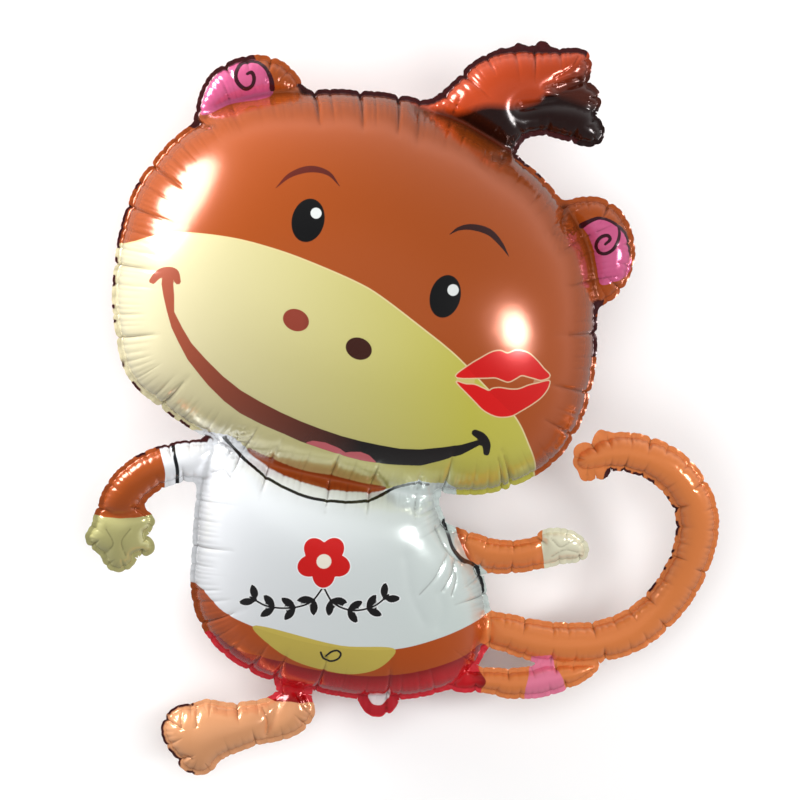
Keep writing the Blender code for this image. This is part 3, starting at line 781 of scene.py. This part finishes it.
class Print:
    """Where each colour of the print lies: signed distances in millimetres, positive inside."""

    REACH = 12.0

    def __init__(self, flat):
        self.x, self.y = flat[:, 0] / UNIT, flat[:, 1] / UNIT

    def near(self, line):
        """The points round an outline."""
        low, high = line[:, :2].min(axis=0) - self.REACH, line[:, :2].max(axis=0) + self.REACH
        across = (self.x > low[0]) & (self.x < high[0])
        return np.nonzero(across & (self.y > low[1]) & (self.y < high[1]))[0]

    def field(self, line, distance):
        """A distance field round one outline."""
        chosen = self.near(line)
        result = np.full(len(self.x), -self.REACH)
        result[chosen] = np.maximum(-distance(self.x[chosen], self.y[chosen], line), -self.REACH)
        return result

    def area(self, outline, smooth=True):
        """Inside an outline."""
        line = smooth_curve(outline, True) / UNIT if smooth else np.array(outline, float)
        return self.field(line, loop_distance)

    def stroke(self, points, breadth=0.0):
        """Within a drawn line, whose points may carry its half breadth."""
        return self.field(smooth_curve(points, False) / UNIT, line_distance) + breadth / 2

    def turned(self, centre, degrees):
        """Coordinates along and across a shape that is turned anticlockwise."""
        turn = np.radians(degrees)
        x, y = self.x - centre[0], self.y - centre[1]
        return x * np.cos(turn) + y * np.sin(turn), y * np.cos(turn) - x * np.sin(turn)

    def oval(self, centre, radii, degrees=0.0):
        """Inside an ellipse."""
        u, v = self.turned(centre, degrees)
        grown = np.hypot(u / radii[0], v / radii[1])
        return np.maximum((1 - grown) * min(radii), -self.REACH)

    def leaf(self, centre, degrees):
        """Inside a pointed leaf."""
        length, breadth = LEAF_SIZE
        u, v = self.turned(centre, degrees)
        width = breadth / 2 * (1 - (2 * u / length) ** 2)
        return np.maximum(np.minimum(width - np.abs(v), length / 2 - np.abs(u)), -self.REACH)

    def petals(self):
        """Inside five round petals."""
        u, v = self.turned(FLOWER[0], 0.0)
        return np.maximum(petal_edge(np.arctan2(v, u)) - np.hypot(u, v), -self.REACH)

    def leaves(self):
        """The stems and their leaves."""
        result = np.full(len(self.x), -self.REACH)
        for stem in STEMS:
            result = np.maximum(result, self.stroke(stem, 2.2))
            curve = smooth_curve(stem, False) / UNIT
            for share in np.linspace(0.22, 0.95, LEAVES_A_SIDE):
                number = int(share * (len(curve) - 2))
                run = curve[number + 1] - curve[number]
                heading = np.degrees(np.arctan2(run[1], run[0]))
                for lean in (LEAF_LEAN, -LEAF_LEAN):
                    turn = np.radians(heading + lean)
                    middle = curve[number] + 0.52 * LEAF_SIZE[0] * np.array([np.cos(turn), np.sin(turn)])
                    result = np.maximum(result, self.leaf(middle, heading + lean))
        return result

    def from_tab(self):
        """Distance to the middle of the tab's ring."""
        return np.hypot(self.x - TAB_CENTRE[0], self.y - TAB_CENTRE[1] - TAB_RING_RISE)

    def tab_ring(self):
        """Inside the printed ring of the filling tab."""
        low, high = TAB_RING
        return np.maximum((high - low) / 2 - np.abs(self.from_tab() - (low + high) / 2), -self.REACH)

    def tab_film(self):
        """Inside the clear film that the tab's ring goes round."""
        return np.maximum(sum(TAB_RING) / 2 - self.from_tab(), -self.REACH)

    def union(self, fields):
        """Several areas of one colour."""
        return np.maximum.reduce(list(fields))

    def dark_rim(self, along, depth):
        """Where the rim is dark, in dashes or all along."""
        result = np.full(len(self.x), -self.REACH)
        for (x, y), radius, beat, share in DARK_RIMS:
            zone = radius - np.hypot(self.x - x, self.y - y)
            if beat:
                place = along / UNIT
                drift = sum(size * np.sin(place / length) for size, length in DASH_DRIFT)
                wave = np.cos(2 * np.pi * place / beat + drift)
                size, length = DASH_SHARE_DRIFT
                share = share * (1 + size * np.sin(place / length))
                zone = np.minimum(zone, (wave - np.cos(np.pi * share)) * beat / 6)
                zone = np.minimum(zone, -depth - DASH_STARTS)
            result = np.maximum(result, zone)
        return np.maximum(result, -self.REACH)

    def front(self):
        """Every colour of the face side."""
        smile = self.area(joined(SMILE_INNER, SMILE_OUTER[::-1]), False)
        tongue = self.area(joined(TONGUE_TOP, [(-49, -80), (-126, -80)]), False)
        muzzle = MUZZLE_EDGE + MUZZLE_FOOT
        return {
            "muzzle": self.area(muzzle),
            "smile": self.union([smile, *(self.stroke(end) for end in SMILE_ENDS)]),
            "tongue": np.minimum(smile, tongue),
            "brows": self.union(self.stroke(brow) for brow in BROWS),
            "eyes": self.union(self.oval(*eye, -EYE_LEAN) for eye in EYES),
            "glints": self.union(self.oval(*glint) for glint in GLINTS),
            "nostrils": self.union(self.oval(*nostril, NOSTRIL_TURN) for nostril in NOSTRILS),
            "lips": self.union(self.area(lip) for lip in LIPS),
            "ear_pink": self.union(self.area(pink) for pink in EAR_PINKS),
            "ear_lines": self.union(self.stroke(line) for line in EAR_LINES),
            "neck_gap": self.area(NECK_GAP),
            "black_lines": self.union([
                self.stroke(COLLAR, 3.4), *(self.stroke(stripe, 4.2) for stripe in SLEEVE_STRIPES),
                self.stroke(NAVEL, 2.4),
            ]),
            "belly": self.area(BELLY),
            "petals": self.petals(),
            "flower_eye": self.oval(FLOWER[0], (FLOWER_EYE, FLOWER_EYE)),
            "leaves": self.leaves(),
        }

    def both(self):
        """The colours that go round to the back."""
        return {
            "shirt": self.area(SHIRT),
            "shorts": self.area(SHORTS),
            "hands": self.union(self.area(hand, False) for hand in HANDS),
            "leg_patch": self.area(LEG_PATCH, False),
            "hair_shade": np.minimum(self.area(HAIR_SHADE), self.area(HAIR_AREA, False)),
            "hair_tips": self.area(HAIR_TIPS),
            "torso": self.area(TORSO),
            "hair": self.area(HAIR_AREA, False),
            "foot": self.area(FOOT_AREA, False),
            # The area of the tail and right arm that is made lighter as painted light.
            "limbs": self.area(LIT_LIMB_AREA, False),
            "tab_film": self.tab_film(),
            "tab_ring": self.tab_ring(),
        }


def joined(*lines):
    """Lines run on into one outline."""
    return [tuple(place) for line in lines for place in line]


def print_rows():
    """Rows of points along the sharp edges of the print, so that they stay crisp."""
    lines = [smooth_curve(line, True) for line in (*LIPS, *EAR_PINKS, NECK_GAP, SHIRT, BELLY, SHORTS)]
    lines += [smooth_curve(line, False) for line in (
        MUZZLE_EDGE, SMILE_INNER, SMILE_OUTER, TONGUE_TOP, COLLAR, NAVEL, *SLEEVE_STRIPES, *STEMS)]
    lines += [smooth_curve(line, False)[:, :2] for line in (*BROWS, *SMILE_ENDS, *EAR_LINES)]
    around = np.linspace(0, 2 * np.pi, 60)
    for (x, y), (wide, high) in EYES + GLINTS + NOSTRILS:
        lean = np.radians(-EYE_LEAN if high > wide else 0.0)
        u, v = wide * np.cos(around), high * np.sin(around)
        ring = [x + u * np.cos(lean) - v * np.sin(lean), y + u * np.sin(lean) + v * np.cos(lean)]
        lines.append(np.stack(ring, axis=1) * UNIT)
    lines += [smooth_curve(line, False) for line, _, width in FOLDS if width < 4.0]
    (x, y), _ = FLOWER
    petal = petal_edge(around)
    lines.append(np.stack([x + petal * np.cos(around), y + petal * np.sin(around)], axis=1) * UNIT)
    rows = []
    for line in lines:
        even, _ = even_line(line, False, PRINT_PITCH)
        run = np.gradient(even, axis=0)
        run /= np.maximum(np.linalg.norm(run, axis=1), 1e-12)[:, None]
        across = np.column_stack([-run[:, 1], run[:, 0]])
        rows += [even + offset * UNIT * across for offset in PRINT_OFFSETS]
    return np.vstack(rows)


def column_places(levels, weld):
    """Places along the weld for the columns: one on each valley, and even ones between."""
    places = []
    for start, length in weld.spans:
        own = levels[0][:, 0]
        own = own[(own >= start) & (own < start + length)]
        ends = np.append(own[1:], start + length)
        for a, b in zip(own, ends):
            shares = np.linspace(0.0, 1.0, max(int(np.ceil((b - a) / COLUMN_PITCH)), 1), endpoint=False)
            shares = 0.6 * shares + 0.4 * (1 - np.cos(np.pi * shares)) / 2
            places.extend(a + shares * (b - a))
    return np.array(places)


def columns(weld, places, rows, room=None):
    """Points where the columns cross the rows beside the weld."""
    samples = weld.at(places)
    points, wanted = [], []
    for row in rows:
        depth = row * UNIT
        chosen = samples if room is None else samples[room[samples] * 0.97 > depth]
        points.append(weld.places[chosen] + depth * weld.left[chosen])
        wanted.append(np.full(len(chosen), abs(depth)))
    points = np.vstack(points)
    wanted = np.concatenate(wanted)
    _, _, away = weld.nearest(points)
    return points[np.abs(away - wanted) < 0.06 * wanted + 0.00008]


def lay_out(sheet, seam, seam_levels, room, welds, weld_levels):
    """Triangles over the figure and its rim, in columns along the valleys."""
    places = column_places(seam_levels, seam)
    edges, loops = [], []
    first = 0
    for start, length in seam.spans:
        own = places[(places >= start) & (places < start + length)]
        loop = seam.places[seam.at(own)]
        loops.append(loop)
        edges.extend((first + k, first + (k + 1) % len(loop)) for k in range(len(loop)))
        first += len(loop)
    for contour in sheet.contours(sheet.rim):
        loop, _ = even_line(contour, True, COLUMN_PITCH)
        loops.append(loop)
        edges.extend((first + k, first + (k + 1) % len(loop)) for k in range(len(loop)))
        first += len(loop)
    points = np.vstack(loops)
    fresh = columns(seam, places, SEAM_ROWS[1:], room)
    rim = columns(seam, places, RIM_ROWS)
    points = np.vstack([points, fresh, clear_of(rim, points, RIM_GAP)])
    weld_places = column_places(weld_levels, welds)
    beside = [*WELD_ROWS, *(-row for row in WELD_ROWS[1:])]
    fresh = columns(welds, weld_places, beside)
    fresh = fresh[sheet.read(sheet.seam, fresh) < -EDGE_GAP]
    points = np.vstack([points, clear_of(fresh, points, WELD_GAP)])
    rows = []
    for along, _, front, back in seam_levels[1]:
        sample = seam.at(along)
        reach = min(0.95 * max(front, back), 0.9 * room[sample])
        for depth in np.arange(LONG_ROWS_START, reach, LONG_ROWS_PITCH):
            for side in LONG_ROWS_OFFSETS:
                rows.append(seam.places[sample] + depth * seam.left[sample] + side * seam.runs[sample])
    if rows:
        points = np.vstack([points, clear_of(np.array(rows), points, LONG_GAP)])
    outlines = clear_of(print_rows(), points, PRINT_GAP)
    outlines = outlines[sheet.read(sheet.seam, outlines) < -PRINT_EDGE_GAP]
    points = np.vstack([points, outlines])
    lattice = []
    height = FACE_PITCH * 3 ** 0.5 / 2
    for k, y in enumerate(np.arange(sheet.ys[0], sheet.ys[-1], height)):
        x = np.arange(sheet.xs[0] + (k % 2) * FACE_PITCH / 2, sheet.xs[-1], FACE_PITCH)
        lattice.append(np.stack([x, np.full(len(x), y)], axis=1))
    lattice = np.vstack(lattice)
    lattice = lattice[sheet.read(sheet.rim, lattice) < -EDGE_GAP]
    points = np.vstack([points, clear_of(lattice, points, FACE_GAP)])
    flat, _, faces, _, _, _ = delaunay_2d_cdt([Vector(p) for p in points], edges, [], 0, 1e-7)
    flat = np.array([tuple(place) for place in flat])
    faces = np.array([face for face in faces if len(face) == 3])
    faces = faces[sheet.read(sheet.rim, flat[faces].mean(axis=1)) < 0]
    used = np.unique(faces)
    return flat[used], np.searchsorted(used, faces)


class Foil:
    """Both foils over one flat layout."""

    def __init__(self):
        dice = np.random.default_rng(11)
        sheet = Sheet(GRID_STEP)
        seam = Weld(sheet.contours(sheet.seam), True)
        room = room_inside(seam)
        limbs = name_limbs(seam.places)
        seam_levels = draw_valleys(seam, limbs, room, KNOWN_VALLEYS, dice)
        lines = [smooth_curve(CREASES[name][0], False) for name in PUCKERED_WELDS]
        welds = Weld(lines, False)
        count = len(welds.places)
        weld_levels = draw_valleys(
            welds, np.full(count, "weld"), np.full(count, 0.05), KNOWN_NECK_VALLEYS, dice)
        self.flat, self.faces = lay_out(sheet, seam, seam_levels, room, welds, weld_levels)
        self.sheet, self.seam, self.room = sheet, seam, room
        self.seam_levels, self.welds, self.weld_levels = seam_levels, welds, weld_levels
        self.shape()

    def fold(self, flat):
        """How deep the single folds of the front foil are at each point, and where the painted shade along
        their lines lies.
        """
        total, lines = np.zeros(len(flat)), np.zeros(len(flat))
        for line, depth, width in FOLDS:
            curve = smooth_curve(line, False)
            away = line_distance(flat[:, 0], flat[:, 1], curve) / (width * UNIT)
            total += depth * UNIT * np.exp(-away * np.sqrt(1 + away))
            if width < 4.0:
                lines += 0.6 * np.exp(-(away * width * UNIT / CREASE_SHADE_WIDTH) ** 2)
        return total, lines

    def shape(self):
        """Places both foils: the smooth balloon first, and then the valleys."""
        sheet, seam, flat = self.sheet, self.seam, self.flat
        index, along, away = seam.nearest(flat)
        self.lines = []
        outside = sheet.read(sheet.seam, flat) > 0
        outside |= away < 0.00006
        depth = np.where(outside, 0.0, away)
        probe = np.minimum(0.003, 0.5 * self.room)
        slope = sheet.read(sheet.film, seam.places + seam.left * probe[:, None]) / probe
        for _ in range(12):
            slope = (np.roll(slope, 1) + 2 * slope + np.roll(slope, -1)) / 4
        grade = ease(depth, 0.002, 0.004)
        film = np.maximum(sheet.read(sheet.film, flat), 0.0) * grade + slope[index] * depth * (1 - grade)
        root = np.sqrt(film)
        pull = -np.stack([sheet.read(sheet.run, flat), sheet.read(sheet.rise, flat)], axis=1) * BULGE
        edge = -seam.left[index] * slope[index, None] * BULGE
        pull = pull * grade[:, None] + edge * (1 - grade[:, None])
        normal = np.column_stack([pull, root])
        normal /= np.maximum(np.linalg.norm(normal, axis=1), 1e-9)[:, None]
        bulge = 2 * BULGE * root
        share = ease(-flat[:, 1] / UNIT, -DROP_STARTS, -DROP_ENDS)
        head_rise = bulge[share == 0].max() - FLAT_SPOT
        below = share > 0.1
        drop = np.min((head_rise - bulge[below] + FLAT_SPOT) / share[below])
        middle = head_rise - drop * share
        _, weld_along, weld_away = self.welds.nearest(flat)
        beyond = np.where(outside & (away > 0.0003), away / RIM_WIDTH, 0.0)
        phase = self.seam_levels[0][:, 0]
        number = np.searchsorted(phase, along)
        before = np.clip(number - 1, 0, len(phase) - 1)
        gap = phase[np.clip(number, 0, len(phase) - 1)] - phase[before]
        wave = np.sin(np.pi * (along - phase[before]) / np.maximum(gap, 1e-6)) * np.where(number % 2, 1, -1)
        ruffle = 0.0009 * np.minimum(beyond, 1.2) * wave
        rim = np.where(sheet.read(sheet.rim, flat) > -0.0004, 0.0, RIM_HALF)
        self.points = []
        for side, up in ((0, 1.0), (1, -1.0)):
            # line: painted shade along the valleys' bottoms, the folds and the welds of the ears and the
            # hair.
            lost, line = drawn_in(self.seam_levels, along, depth, side)
            lost, line = lost * ease(weld_away, 0.0, 0.009), line * ease(weld_away, 0.0, 0.003)
            crossed, crossing = drawn_in(self.weld_levels, weld_along, weld_away, side)
            lost += crossed * ease(weld_away, 0.0, 0.007) * ease(depth, 0.0, 0.007)
            line += crossing * ease(weld_away, 0.0, 0.003) * ease(depth, 0.0, 0.007)
            # Painted shade along the welds of the ears and the hair, above the neck.
            line += np.exp(-(weld_away / 0.004) ** 2) * (flat[:, 1] > 0) * WELD_SHADE
            if side == 0:
                fold, folded = self.fold(flat)
                lost += fold * ease(depth, 0.0, 0.004)
                line += folded
            self.lines.append(np.clip(line, 0.0, 1.0))
            lost = np.minimum(lost, 0.9 * self.room[index] + 0.001)
            place = np.column_stack([flat, middle + up * (bulge + rim) + ruffle])
            place -= np.column_stack([normal[:, :2], up * normal[:, 2]]) * lost[:, None]
            place[:, 2] = np.maximum(place[:, 2], 0.0)
            self.points.append(place)
        self.shift = (flat.min(axis=0) + flat.max(axis=0)) / 2
        self.depth, self.along = -sheet.read(sheet.seam, flat) / UNIT, along
        for place in self.points:
            place[:, :2] -= self.shift


def add_foil(name, foil, side):
    """One foil as a mesh, with its flat drawing kept on its points."""
    faces = foil.faces if side == 0 else foil.faces[:, ::-1]
    mesh = bpy.data.meshes.new(name)
    mesh.from_pydata(foil.points[side].tolist(), [], faces.tolist())
    mesh.update()
    mesh.shade_smooth()
    drawn = mesh.attributes.new("drawn", "FLOAT_VECTOR", "POINT")
    flat = np.column_stack([foil.flat / UNIT, np.full(len(foil.flat), 1.0 - 2.0 * side)])
    drawn.data.foreach_set("vector", flat.ravel())
    printed = Print(foil.flat)
    stored = printed.both()
    stored["dark_rim"] = printed.dark_rim(foil.along, foil.depth)
    stored["seam_depth"] = foil.depth
    # Painted shade along the creases, folds and welds.
    stored["crease_shade"] = foil.lines[side]
    if side == 0:
        stored.update(printed.front())
    for key, values in stored.items():
        mesh.attributes.new(key, "FLOAT", "POINT").data.foreach_set("value", values)
    layer = mesh.uv_layers.new(name="OFBake")
    corners = np.empty(len(mesh.loops), np.int32)
    mesh.loops.foreach_get("vertex_index", corners)
    low = foil.flat.min(axis=0)
    span = (foil.flat.max(axis=0) - low).max()
    spread = 0.005 + 0.99 * (foil.flat - low) / span
    layer.data.foreach_set("uv", spread[corners].ravel())
    thing = bpy.data.objects.new(name, mesh)
    bpy.context.scene.collection.objects.link(thing)
    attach(thing, "root")
    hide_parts("foil_balloon")
    return thing


def paint(red, green, blue):
    """A colour of the print, or of painted light or shade, from the eight-bit values of a colour chart."""
    levels = np.array([red, green, blue]) / 255
    linear = np.where(levels <= 0.04045, levels / 12.92, ((levels + 0.055) / 1.055) ** 2.4)
    return (*linear.tolist(), 1.0)


class Level:
    """A number in the shader: sums on it become Math nodes."""

    def __init__(self, tree, socket):
        self.tree, self.socket = tree, socket

    def math(self, operation, *values):
        node = self.tree.nodes.new("ShaderNodeMath")
        node.operation = operation
        for entry, value in zip(node.inputs, values):
            if isinstance(value, Level):
                self.tree.links.new(value.socket, entry)
            else:
                entry.default_value = value
        return Level(self.tree, node.outputs[0])

    def __add__(self, other):
        return self.math("ADD", self, other)

    def __radd__(self, other):
        return self.math("ADD", other, self)

    def __sub__(self, other):
        return self.math("SUBTRACT", self, other)

    def __rsub__(self, other):
        return self.math("SUBTRACT", other, self)

    def __mul__(self, other):
        return self.math("MULTIPLY", self, other)

    def __rmul__(self, other):
        return self.math("MULTIPLY", other, self)

    def __truediv__(self, other):
        return self.math("DIVIDE", self, other)

    def __pow__(self, other):
        return self.math("POWER", self, other)

    def clamp(self):
        return self.math("MINIMUM", self.math("MAXIMUM", self, 0.0), 1.0)

    def step(self, low, high):
        """0 at low, 1 at high and beyond."""
        return ((self - low) / (high - low)).clamp()


class Finish:
    """A material under way."""

    def __init__(self, name):
        self.material = bpy.data.materials.new(name)
        self.material.use_nodes = True
        self.tree = self.material.node_tree
        self.shader = self.tree.nodes["Principled BSDF"]

    def node(self, kind, settings=None, **entries):
        """A node with its settings, and then the values or links of its sockets."""
        node = self.tree.nodes.new(kind)
        for key, value in (settings or {}).items():
            setattr(node, key, value)
        for key, value in entries.items():
            entry = node.inputs[key.replace("_", " ")]
            self.feed(entry, value)
        return node

    def feed(self, entry, value):
        """A value or a link into one socket."""
        if isinstance(value, Level):
            self.tree.links.new(value.socket, entry)
        elif isinstance(value, bpy.types.NodeSocket):
            self.tree.links.new(value, entry)
        else:
            entry.default_value = value

    def stored(self, name):
        """A number kept on the points of the mesh."""
        node = self.node("ShaderNodeAttribute", {"attribute_name": name})
        return Level(self.tree, node.outputs["Fac"])

    def inside(self, name, grown=0.0, blur=0.35):
        """1 inside a printed area and 0 outside, with an edge as soft as ink on film."""
        return self.stored(name).step(-blur - grown, blur - grown)

    def mix(self, share, below, above):
        """One colour over another."""
        node = self.tree.nodes.new("ShaderNodeMix")
        node.data_type = "RGBA"
        self.feed(node.inputs["Factor"], share)
        self.feed(node.inputs["A"], below)
        self.feed(node.inputs["B"], above)
        return node.outputs["Result"]

    def blend(self, share, below, above):
        """One number over another."""
        return below + share * (above - below)

    def noise(self, place, scale, detail=2.0):
        node = self.node(
            "ShaderNodeTexNoise", {"noise_dimensions": "2D"},
            Vector=place, Scale=scale, Detail=detail, Roughness=0.5)
        return Level(self.tree, node.outputs["Fac"])


def printed_foil(name, face):
    """Metallised film, with thin glossy ink on it; the face side carries the whole print. Painted shade
    darkens the creases, welds and the shorts' edges; painted light makes the shirt and muzzle paler on the
    left and the tail and right arm lighter.
    """
    f = Finish(name)
    drawn = f.node("ShaderNodeAttribute", {"attribute_name": "drawn"}).outputs["Vector"]
    place = f.node("ShaderNodeSeparateXYZ", None, Vector=drawn)
    x = Level(f.tree, place.outputs["X"])
    depth = f.stored("seam_depth")

    fur = f.mix(f.inside("torso", 0, 3.0), paint(174, 79, 20), paint(184, 78, 11))
    # Painted light: the tail and the right arm are made lighter to stand in for their brighter reflections.
    fur = f.mix(f.inside("limbs", 0, 3.0), fur, paint(232, 134, 70))
    fur = f.mix(f.inside("hair"), fur, paint(196, 70, 24))
    fur = f.mix(f.inside("hair_shade", 0, 5.0), fur, paint(30, 3, 1))
    fur = f.mix(f.inside("hair_tips", 0, 4.0) * 0.6, fur, paint(96, 38, 20))
    fur = f.mix(f.inside("foot", 0, 6.0), fur, paint(234, 166, 116))
    colour = fur
    white = f.inside("shirt")
    if face:
        # The muzzle's cream-yellow print, with painted light: paler towards the left, where the left lamp
        # falls.
        muzzle_cream_and_light = f.mix(x.step(-330, 60), paint(225, 215, 179), paint(196, 189, 78))
        colour = f.mix(f.inside("muzzle", 1.6), colour, paint(238, 220, 160))
        colour = f.mix(f.inside("muzzle"), colour, muzzle_cream_and_light)
        white = white.math("MAXIMUM", white, f.inside("muzzle"))
    # The shirt's pale grey, with painted light: lighter towards the left, darker towards the right.
    shirt_painted_light = f.mix(x.step(-230, 60), paint(238, 240, 244), paint(205, 216, 212))
    colour = f.mix(f.inside("shirt"), colour, shirt_painted_light)
    # Shorts: dark red within about 9 mm of their outline, brighter red further in; the darker band, mostly
    # along their top, is painted shade.
    colour = f.mix(f.inside("shorts"), colour, paint(150, 2, 2))
    colour = f.mix(f.inside("shorts", -9, 7), colour, paint(208, 8, 24))
    colour = f.mix(depth.step(0.5, -0.5) * f.inside("shorts"), colour, paint(222, 40, 54))
    colour = f.mix(depth.step(0.5, -0.5) * f.inside("tab_film"), colour, paint(240, 226, 228))
    colour = f.mix(depth.step(0.5, -0.5) * f.inside("tab_ring"), colour, paint(190, 14, 34))
    palm = f.mix(x.step(0, 60), paint(190, 185, 124), paint(242, 238, 208))
    colour = f.mix(f.inside("hands"), colour, palm)
    if face:
        colour = f.mix(f.inside("leg_patch"), colour, paint(240, 128, 160))
        colour = f.mix(f.inside("belly"), colour, paint(206, 184, 84))
        colour = f.mix(f.inside("neck_gap", 0, 0.8), colour, paint(150, 66, 22))
        colour = f.mix(f.inside("ear_pink"), colour, paint(214, 94, 142))
        ink = f.mix(x.step(-280, -60), paint(164, 78, 52), paint(12, 3, 3))
        colour = f.mix(f.inside("smile"), colour, ink)
        colour = f.mix(f.inside("tongue"), colour, paint(206, 98, 106))
        brow = f.mix(x.step(-150, 40), paint(105, 30, 14), paint(52, 12, 10))
        colour = f.mix(f.inside("brows"), colour, brow)
        nostril = f.mix(x.step(-130, -90), paint(146, 58, 40), paint(62, 24, 14))
        colour = f.mix(f.inside("nostrils"), colour, nostril)
        colour = f.mix(f.inside("eyes"), colour, paint(6, 6, 8))
        colour = f.mix(f.inside("glints"), colour, paint(236, 240, 238))
        colour = f.mix(f.inside("lips", 1.3), colour, paint(236, 200, 160))
        colour = f.mix(f.inside("lips"), colour, paint(220, 8, 6))
        colour = f.mix(f.inside("leaves", 1.0), colour, paint(248, 250, 250))
        colour = f.mix(f.inside("leaves"), colour, paint(12, 10, 12))
        colour = f.mix(f.inside("petals", 1.3), colour, paint(248, 250, 250))
        colour = f.mix(f.inside("petals"), colour, paint(212, 14, 12))
        colour = f.mix(f.inside("flower_eye"), colour, paint(246, 238, 222))
        colour = f.mix(f.inside("ear_lines"), colour, paint(58, 8, 26))
        colour = f.mix(f.inside("black_lines"), colour, paint(16, 20, 24))
    rim = depth.step(1.2, -0.4)
    dark = f.inside("dark_rim", 0, 0.6)
    colour = f.mix(rim * dark, colour, paint(66, 10, 14))
    # Painted shade: the creases, folds and welds of the ears and the hair are darkened, and their coat is
    # thinned.
    crease = f.stored("crease_shade")
    colour = f.mix(crease * 0.62, colour, paint(60, 34, 22))

    crumple = f.noise(drawn, 0.05, 3.0)
    grain = f.noise(drawn, 0.55, 2.0)
    metallic = f.blend(white.clamp(), 0.32, 0.24)
    roughness = f.blend(white.clamp(), 0.17, 0.2) + grain * 0.04
    f.feed(f.shader.inputs["Base Color"], colour)
    f.feed(f.shader.inputs["Metallic"], metallic)
    f.feed(f.shader.inputs["Roughness"], roughness)
    f.feed(f.shader.inputs["Coat Weight"], (0.95 - crease).clamp())
    f.shader.inputs["Coat Roughness"].default_value = 0.2
    bump = f.node("ShaderNodeBump", None, Strength=0.12, Distance=0.0015, Height=crumple + grain * 0.08)
    f.feed(f.shader.inputs["Normal"], bump.outputs["Normal"])
    return f.material


def area_light(name, place, aim, size, power, colour=(1.0, 1.0, 1.0)):
    """A soft box that faces a point."""
    lamp = bpy.data.lights.new(name, "AREA")
    lamp.shape = "ELLIPSE"
    lamp.size, lamp.size_y = size
    lamp.energy = power
    lamp.color = colour
    thing = bpy.data.objects.new(name, lamp)
    thing.location = place
    thing.rotation_euler = (Vector(aim) - Vector(place)).to_track_quat("-Z", "Y").to_euler()
    bpy.context.scene.collection.objects.link(thing)
    return thing


def set_stage():
    """A plain pale floor and soft light."""
    mesh = bpy.data.meshes.new("floor")
    mesh.from_pydata([(-4, -4, 0), (4, -4, 0), (4, 4, 0), (-4, 4, 0)], [], [(0, 1, 2, 3)])
    floor = bpy.data.objects.new("floor", mesh)
    bpy.context.scene.collection.objects.link(floor)
    material = bpy.data.materials.new("pale floor")
    material.use_nodes = True
    shader = material.node_tree.nodes["Principled BSDF"]
    shader.inputs["Base Color"].default_value = (0.97, 0.97, 0.97, 1.0)
    shader.inputs["Roughness"].default_value = 1.0
    mesh.materials.append(material)
    floor.visible_glossy = False
    bpy.context.scene.view_settings.view_transform = "Standard"
    world = bpy.data.worlds.new("studio")
    bpy.context.scene.world = world
    world.use_nodes = True
    tree = world.node_tree
    way = tree.nodes.new("ShaderNodeSeparateXYZ")
    tree.links.new(tree.nodes.new("ShaderNodeTexCoord").outputs["Generated"], way.inputs["Vector"])
    up = Level(tree, way.outputs["Z"])
    north = Level(tree, way.outputs["Y"])
    wall = (0.5 + 0.4 * north) * (1.0 - up.clamp() ** 0.5)
    below = up.step(-0.3, 0.0)
    tree.links.new((0.15 + wall * (0.3 + 0.7 * below)).socket, tree.nodes["Background"].inputs["Strength"])
    tree.nodes["Background"].inputs["Color"].default_value = (1.0, 1.0, 1.0, 1.0)
    area_light("left window", (-1.4, 0.94, 0.44), (0.0, 0.05, 0.14), (1.15, 0.95), 40)
    area_light("right window", (1.5, -0.1, 1.4), (0.0, 0.0, 0.14), (0.44, 0.44), 12)
    above = area_light("ceiling", (0.0, 0.0, 2.6), (0.0, 0.0, 0.0), (2.6, 2.6), 50)
    above.visible_glossy = False


def set_camera(middle):
    """Looks down at the face from a long way off, a little from the left and the top."""
    aim = Vector((-middle[0], -middle[1], AIM_HEIGHT))
    toward = Vector(CAMERA_WAY).normalized()
    right = Vector((0.0, 1.0, 0.0)).cross(toward).normalized()
    up = toward.cross(right)
    camera = bpy.data.cameras.new("camera")
    camera.sensor_fit = "HORIZONTAL"
    camera.sensor_width = SENSOR_WIDTH
    camera.lens = SENSOR_WIDTH * CAMERA_AWAY / VIEW_WIDTH
    camera.shift_x, camera.shift_y = VIEW_SHIFT
    thing = bpy.data.objects.new("camera", camera)
    turn = Matrix((right, up, toward)).transposed().to_4x4()
    thing.matrix_world = Matrix.Translation(aim + toward * CAMERA_AWAY) @ turn
    bpy.context.scene.collection.objects.link(thing)
    bpy.context.scene.camera = thing


foil = Foil()
print("foil points", len(foil.flat), "faces", len(foil.faces))
for name, side in (("front_foil", 0), ("back_foil", 1)):
    add_foil(name, foil, side).data.materials.append(printed_foil(name.replace("_", " print, "), side == 0))
set_stage()
set_camera(foil.shift)
